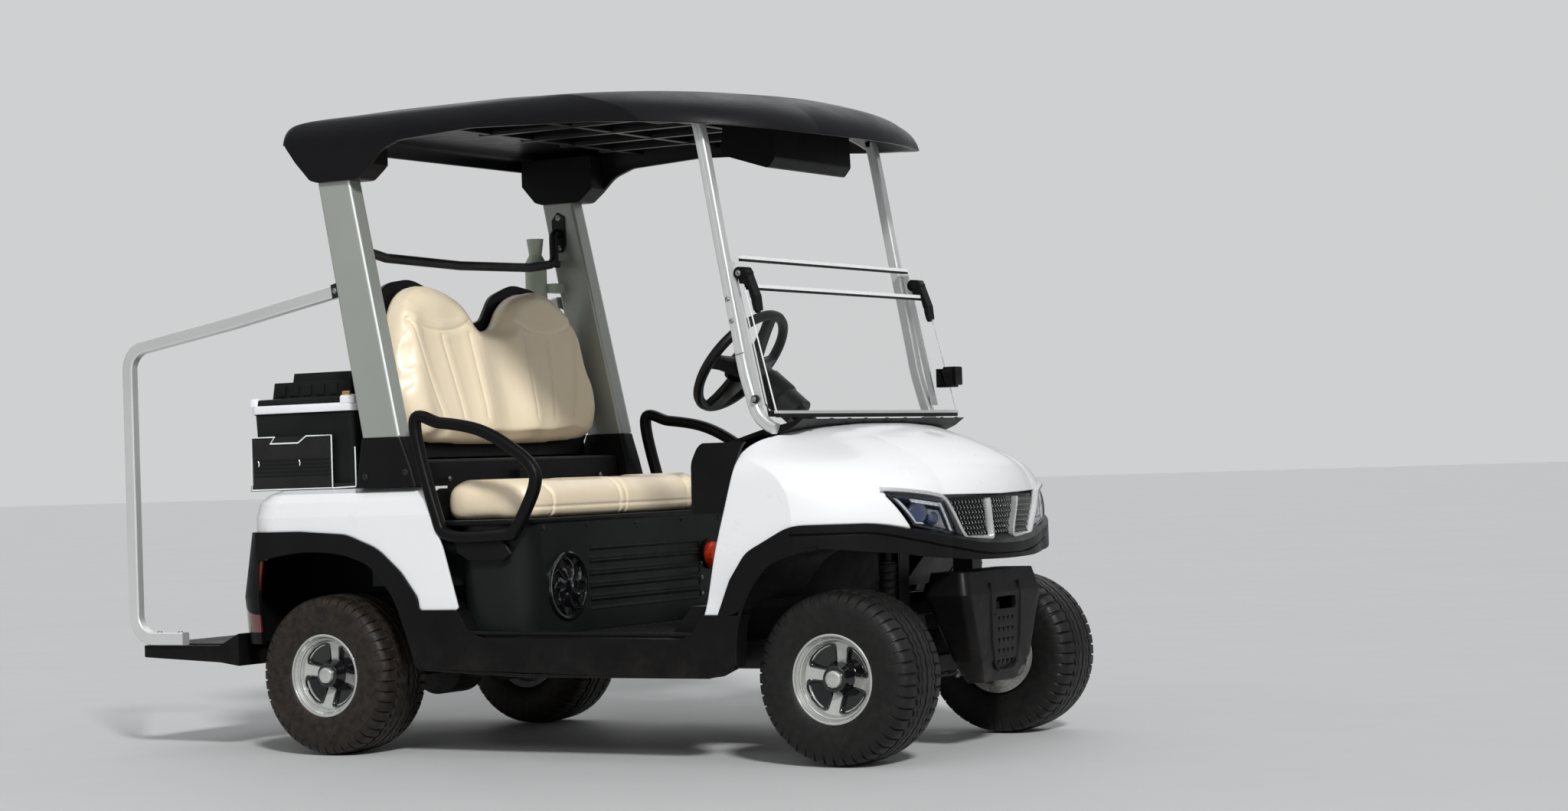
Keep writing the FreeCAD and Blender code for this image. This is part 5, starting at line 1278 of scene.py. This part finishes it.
panel_bag = Bag()
panel_rows = [(j, PANEL_DEPTH) for j in range(PANEL_ROWS + 1)]
panel_rows += [(j, PANEL_DEPTH + PANEL_THICK) for j in range(PANEL_ROWS, -1, -1)]
rings = []
for j, depth in panel_rows:
    z = GRILLE_FOOT + (GRILLE_TOP - GRILLE_FOOT) * j / PANEL_ROWS
    half = grille_half(z)
    rings.append([
        behind_skin(half * (k / PANEL_HALF - 1), z, depth) for k in range(2 * PANEL_HALF + 1)
    ])
panel_bag.rings(rings, closed=False, caps=False, round_trip=True)
panel_bag.stand_in("grille_panel", "mesh_black", "grille_mesh")
studs = bag("grille_studs", "gloss_black", "mesh_black")
glints = bag("grille_glints", "chrome_trim")
for row in range(8):
    z = STUD_FOOT + row * STUD_PITCH_Z
    for column in range(-18, 19):
        y = (column + 0.5 * (row % 2)) * STUD_PITCH_Y
        if abs(y) > grille_half(z) - STUD_MARGIN:
            continue
        normal = outward(y, z)
        base = behind_skin(y, z, PANEL_DEPTH)
        over = Vector((0, 1, 0))
        tall = normal.cross(over).normalized()
        tall = tall if tall.z > 0 else -tall
        for target, shift, parts in ((studs, 0.0, STUD), (glints, -1.6, GLINT)):
            target.rings([[
                base + tall * (h / 1000) + over * ((w * c + shift) / 1000)
                + normal * ((lift + w * 0.6 * s) / 1000) for c, s in circle(6)
            ] for h, w, lift in parts])

# Headlamps: a deep bowl, silver bands along its edges, blue lenses and ribs
LOW_IN, LOW_OUT = Vector((-222, 583)), Vector((-386, 616))
TOP_IN, TOP_OUT = Vector((-281, 683)), Vector((-456, 706))
BOWL_ACROSS, BOWL_TALL, BOWL_WALL = 26, 14, 0.006


def lamp_point(s, u, v, depth):
    """u runs from the inner to the outer side and v from the foot to the top."""
    flat = LOW_IN.lerp(LOW_OUT, u).lerp(TOP_IN.lerp(TOP_OUT, u), v)
    point = behind_skin(flat.x, flat.y, depth)
    return Vector((point.x, -point.y, point.z)) if s > 0 else point


def bowl_point(s, u, v, side):
    edge = min(1.0, min(u, 1 - u) * 5.0, min(v, 1 - v) * 3.2)
    depth = 6.5 + 34.0 * edge * edge * (3 - 2 * edge)
    return lamp_point(s, u, v, depth) - Vector((BOWL_WALL * side, 0, 0))


def band(target, s, ends, width, depth):
    """A flat strip inside the lamp from one (u, v) to another, width given as (u, v)."""
    (u0, v0), (u1, v1) = ends
    rings = []
    for k in range(13):
        u, v = u0 + (u1 - u0) * k / 12, v0 + (v1 - v0) * k / 12
        over = (u + width[0], v + width[1])
        rings.append([
            lamp_point(s, u, v, depth), lamp_point(s, *over, depth + 3),
            lamp_point(s, *over, depth + 6), lamp_point(s, u, v, depth + 4),
        ])
    target.rings(rings)


BANDS = [
    (((0.93, 0.88), (0.93, 0.10)), (-0.075, 0.0), 10),
    (((0.10, 0.88), (0.66, 0.90)), (0.0, -0.10), 9),
    (((0.045, 0.90), (0.045, 0.12)), (0.035, 0.0), 8),
    (((0.70, 0.14), (0.88, 0.10)), (0.0, 0.05), 12),
]
BANDS += [(((u, 0.16), (u, 0.66)), (0.006, 0.0), 17) for u in (0.14 + 0.036 * k for k in range(8))]
RIM = [(k / 14, 0.0) for k in range(15)] + [(1.0, k / 8) for k in range(1, 9)]
RIM += [(1 - k / 14, 1.0) for k in range(1, 15)] + [(0.0, 1 - k / 8) for k in range(1, 8)]
lamp_bowl = Bag()
lamp_blue = bag("lamp_projectors", "lamp_blue", "lamp_dark")
lamp_silver = bag("lamp_bands", "lamp_silver", "chrome_trim")
lamp_edge = bag("lamp_borders", "gloss_black", "lamp_dark")
bowl_rows = [(j, 0) for j in range(BOWL_TALL + 1)] + [(j, 1) for j in range(BOWL_TALL, -1, -1)]
for s in SIDES:
    lamp_bowl.rings([
        [bowl_point(s, i / BOWL_ACROSS, j / BOWL_TALL, side) for i in range(BOWL_ACROSS + 1)]
        for j, side in bowl_rows
    ], closed=False, caps=False, round_trip=True)
    for ends, width, depth in BANDS:
        band(lamp_silver, s, ends, width, depth)
    for u, v, size in ((0.63, 0.50, 33.0), (0.33, 0.40, 19.0)):
        lamp_blue.turned(
            [(size, 2), (size, 12), (size * 0.93, 17), (size * 0.7, 22), (size * 0.35, 25),
             (0.01, 26)], lamp_point(s, u, v, 36), (1, 0.42 * s, 0.02), 40)
    lamp_edge.tube([lamp_point(s, u, v, -0.5) for u, v in RIM], 3.0, 8, closed=True)
lamp_bowl.stand_in("headlamp_bowls", "lamp_dark", "headlamps")

# Nose guard: rolled edge of the panel, two cross ribs, screws
GUARD_EDGE = [(1873.5, 84, 452), (1874.5, 88, 400), (1872, 84, 300), (1868.5, 66, 232),
              (1866, 40, 214)]
guard = bag("guard_panel", "roof_black", "black_moulding")
for s in SIDES:
    guard.tube([at(x, s * y, z) for x, y, z in GUARD_EDGE], 4.0, 8)
guard.tube([at(1866, -40, 214), at(1865.5, 0, 211), at(1866, 40, 214)], 4.0, 8)
for z in (420, 366):
    guard.tube([at(1873.5, -66, z), at(1873.8, 66, z)], 3.0, 8)
for s in SIDES:
    for x, y, z in ((1872.5, 150, 400), (1868.5, 128, 270)):
        dark_screws.bolt(at(x, s * y, z), (1, 0, 0), 6.0, 3.0)

# Steering wheel: hub cover and spoke trims; column cover and drive switch
TILT = math.radians(40.0)
COLUMN_AXIS = Vector((-math.cos(TILT), 0, math.sin(TILT)))
WHEEL_CENTRE = at(918, 240, 1094)
WHEEL_UP = Vector((math.sin(TILT), 0, math.cos(TILT)))
SPOKE_SECTION = ((-1, -0.4), (-0.9, 0.8), (0.9, 0.8), (1, -0.4), (0.8, -1), (-0.8, -1))
horn = bag("wheel_horn", "grip_black", body="steering_wheel_body")
horn.turned([(56, -20), (64, -14), (65, 0), (56, 8), (34, 12), (0.01, 13)], WHEEL_CENTRE,
            COLUMN_AXIS, 40)
for degrees, spread in ((0, 1.0), (180, 1.0), (90, 0.8), (270, 1.7)):
    angle = math.radians(degrees)
    out = Vector((0, 1, 0)) * math.cos(angle) + WHEEL_UP * math.sin(angle)
    over = COLUMN_AXIS.cross(out)
    rings = []
    for r, half, thick in ((46, 34, 13), (80, 27, 13), (120, 22, 13), (163, 24, 12.5)):
        middle = WHEEL_CENTRE + out * (r / 1000) - COLUMN_AXIS * (0.034 * (168 - r) / 138)
        rings.append([
            middle + over * (a * spread * half / 1000) + COLUMN_AXIS * (b * thick / 1000)
            for a, b in SPOKE_SECTION
        ])
    horn.rings(rings)
cover = bag("column_cover", "black_moulding")
cover.turned([(46, -188), (49, -180), (49, -110), (40, -96), (30, -94)], WHEEL_CENTRE,
             COLUMN_AXIS, 32, caps=False)
stalk = bag("drive_switch", "grip_black")
stalk.tube([at(962, 282, 1012), at(958, 330, 1022), at(956, 356, 1026)], 6.5, 10)

# Everything collected above
for label, (collected, look, body, slot_name) in bags.items():
    collected.make(label, look, body)

# Light and floor
world = bpy.data.worlds.new("world")
bpy.context.scene.world = world
sky = Tree(world)
rays = sky.add("LightPath")


def background(colour, strength):
    return sky.add("Background", {"Color": colour, "Strength": strength}).outputs[0]


def chosen(ray, otherwise, shader):
    inputs = {0: rays.outputs[ray], 1: otherwise, 2: shader}
    return sky.add("MixShader", inputs).outputs[0]


seen = background((0.95, 0.955, 0.965), 0.66)
height = sky.height(sky.add("TexCoord").outputs["Generated"])
shine = background((0.96, 0.98, 1.0), sky.ranged(height, -0.02, 0.8, 0.16, 0.85))
mixed = chosen("Is Glossy Ray", background((1.0, 1.0, 1.0), 0.37), shine)
mixed = chosen("Is Camera Ray", chosen("Is Transmission Ray", mixed, seen), seen)
sky.give(sky.tree.nodes["World Output"], {"Surface": mixed})


def light(name, kind, energy, place, target=(0, 0, 0)):
    """A lamp at a place, looking at the target."""
    data = bpy.data.lights.new(name, kind)
    data.energy = energy
    obj = bpy.data.objects.new(name, data)
    obj.location = place if kind == "AREA" else (0, 0, 0)
    obj.rotation_euler = (Vector(target) - Vector(place)).to_track_quat("-Z", "Y").to_euler()
    bpy.context.collection.objects.link(obj)
    return data


light("key", "SUN", 2.45, (1.0, -1.0, 0.95)).angle = math.radians(7)
light("behind", "SUN", 0.25, (-0.6, 1.0, 0.9)).angle = math.radians(60)
soft_box = light("soft_box", "AREA", 30, (1.6, -6.0, 3.6), (0.2, 0, 0.8))
soft_box.shape = "RECTANGLE"
soft_box.size, soft_box.size_y = 4.0, 0.7

FLOOR_HALF = 90
floor_mesh = bpy.data.meshes.new("floor")
floor_mesh.from_pydata([(x * FLOOR_HALF, y * FLOOR_HALF, 0) for x, y in (
    (-1, -1), (1, -1), (1, 1), (-1, 1),
)], [], [[0, 1, 2, 3]])
floor_mesh.materials.append(finish("floor", (0.62, 0.625, 0.63), (0.605, 0.61, 0.615), 0.6,
                                   patch=0.6, grain=60.0, lift=0.03, specular=0.1))
floor = bpy.data.objects.new("floor", floor_mesh)
bpy.context.collection.objects.link(floor)
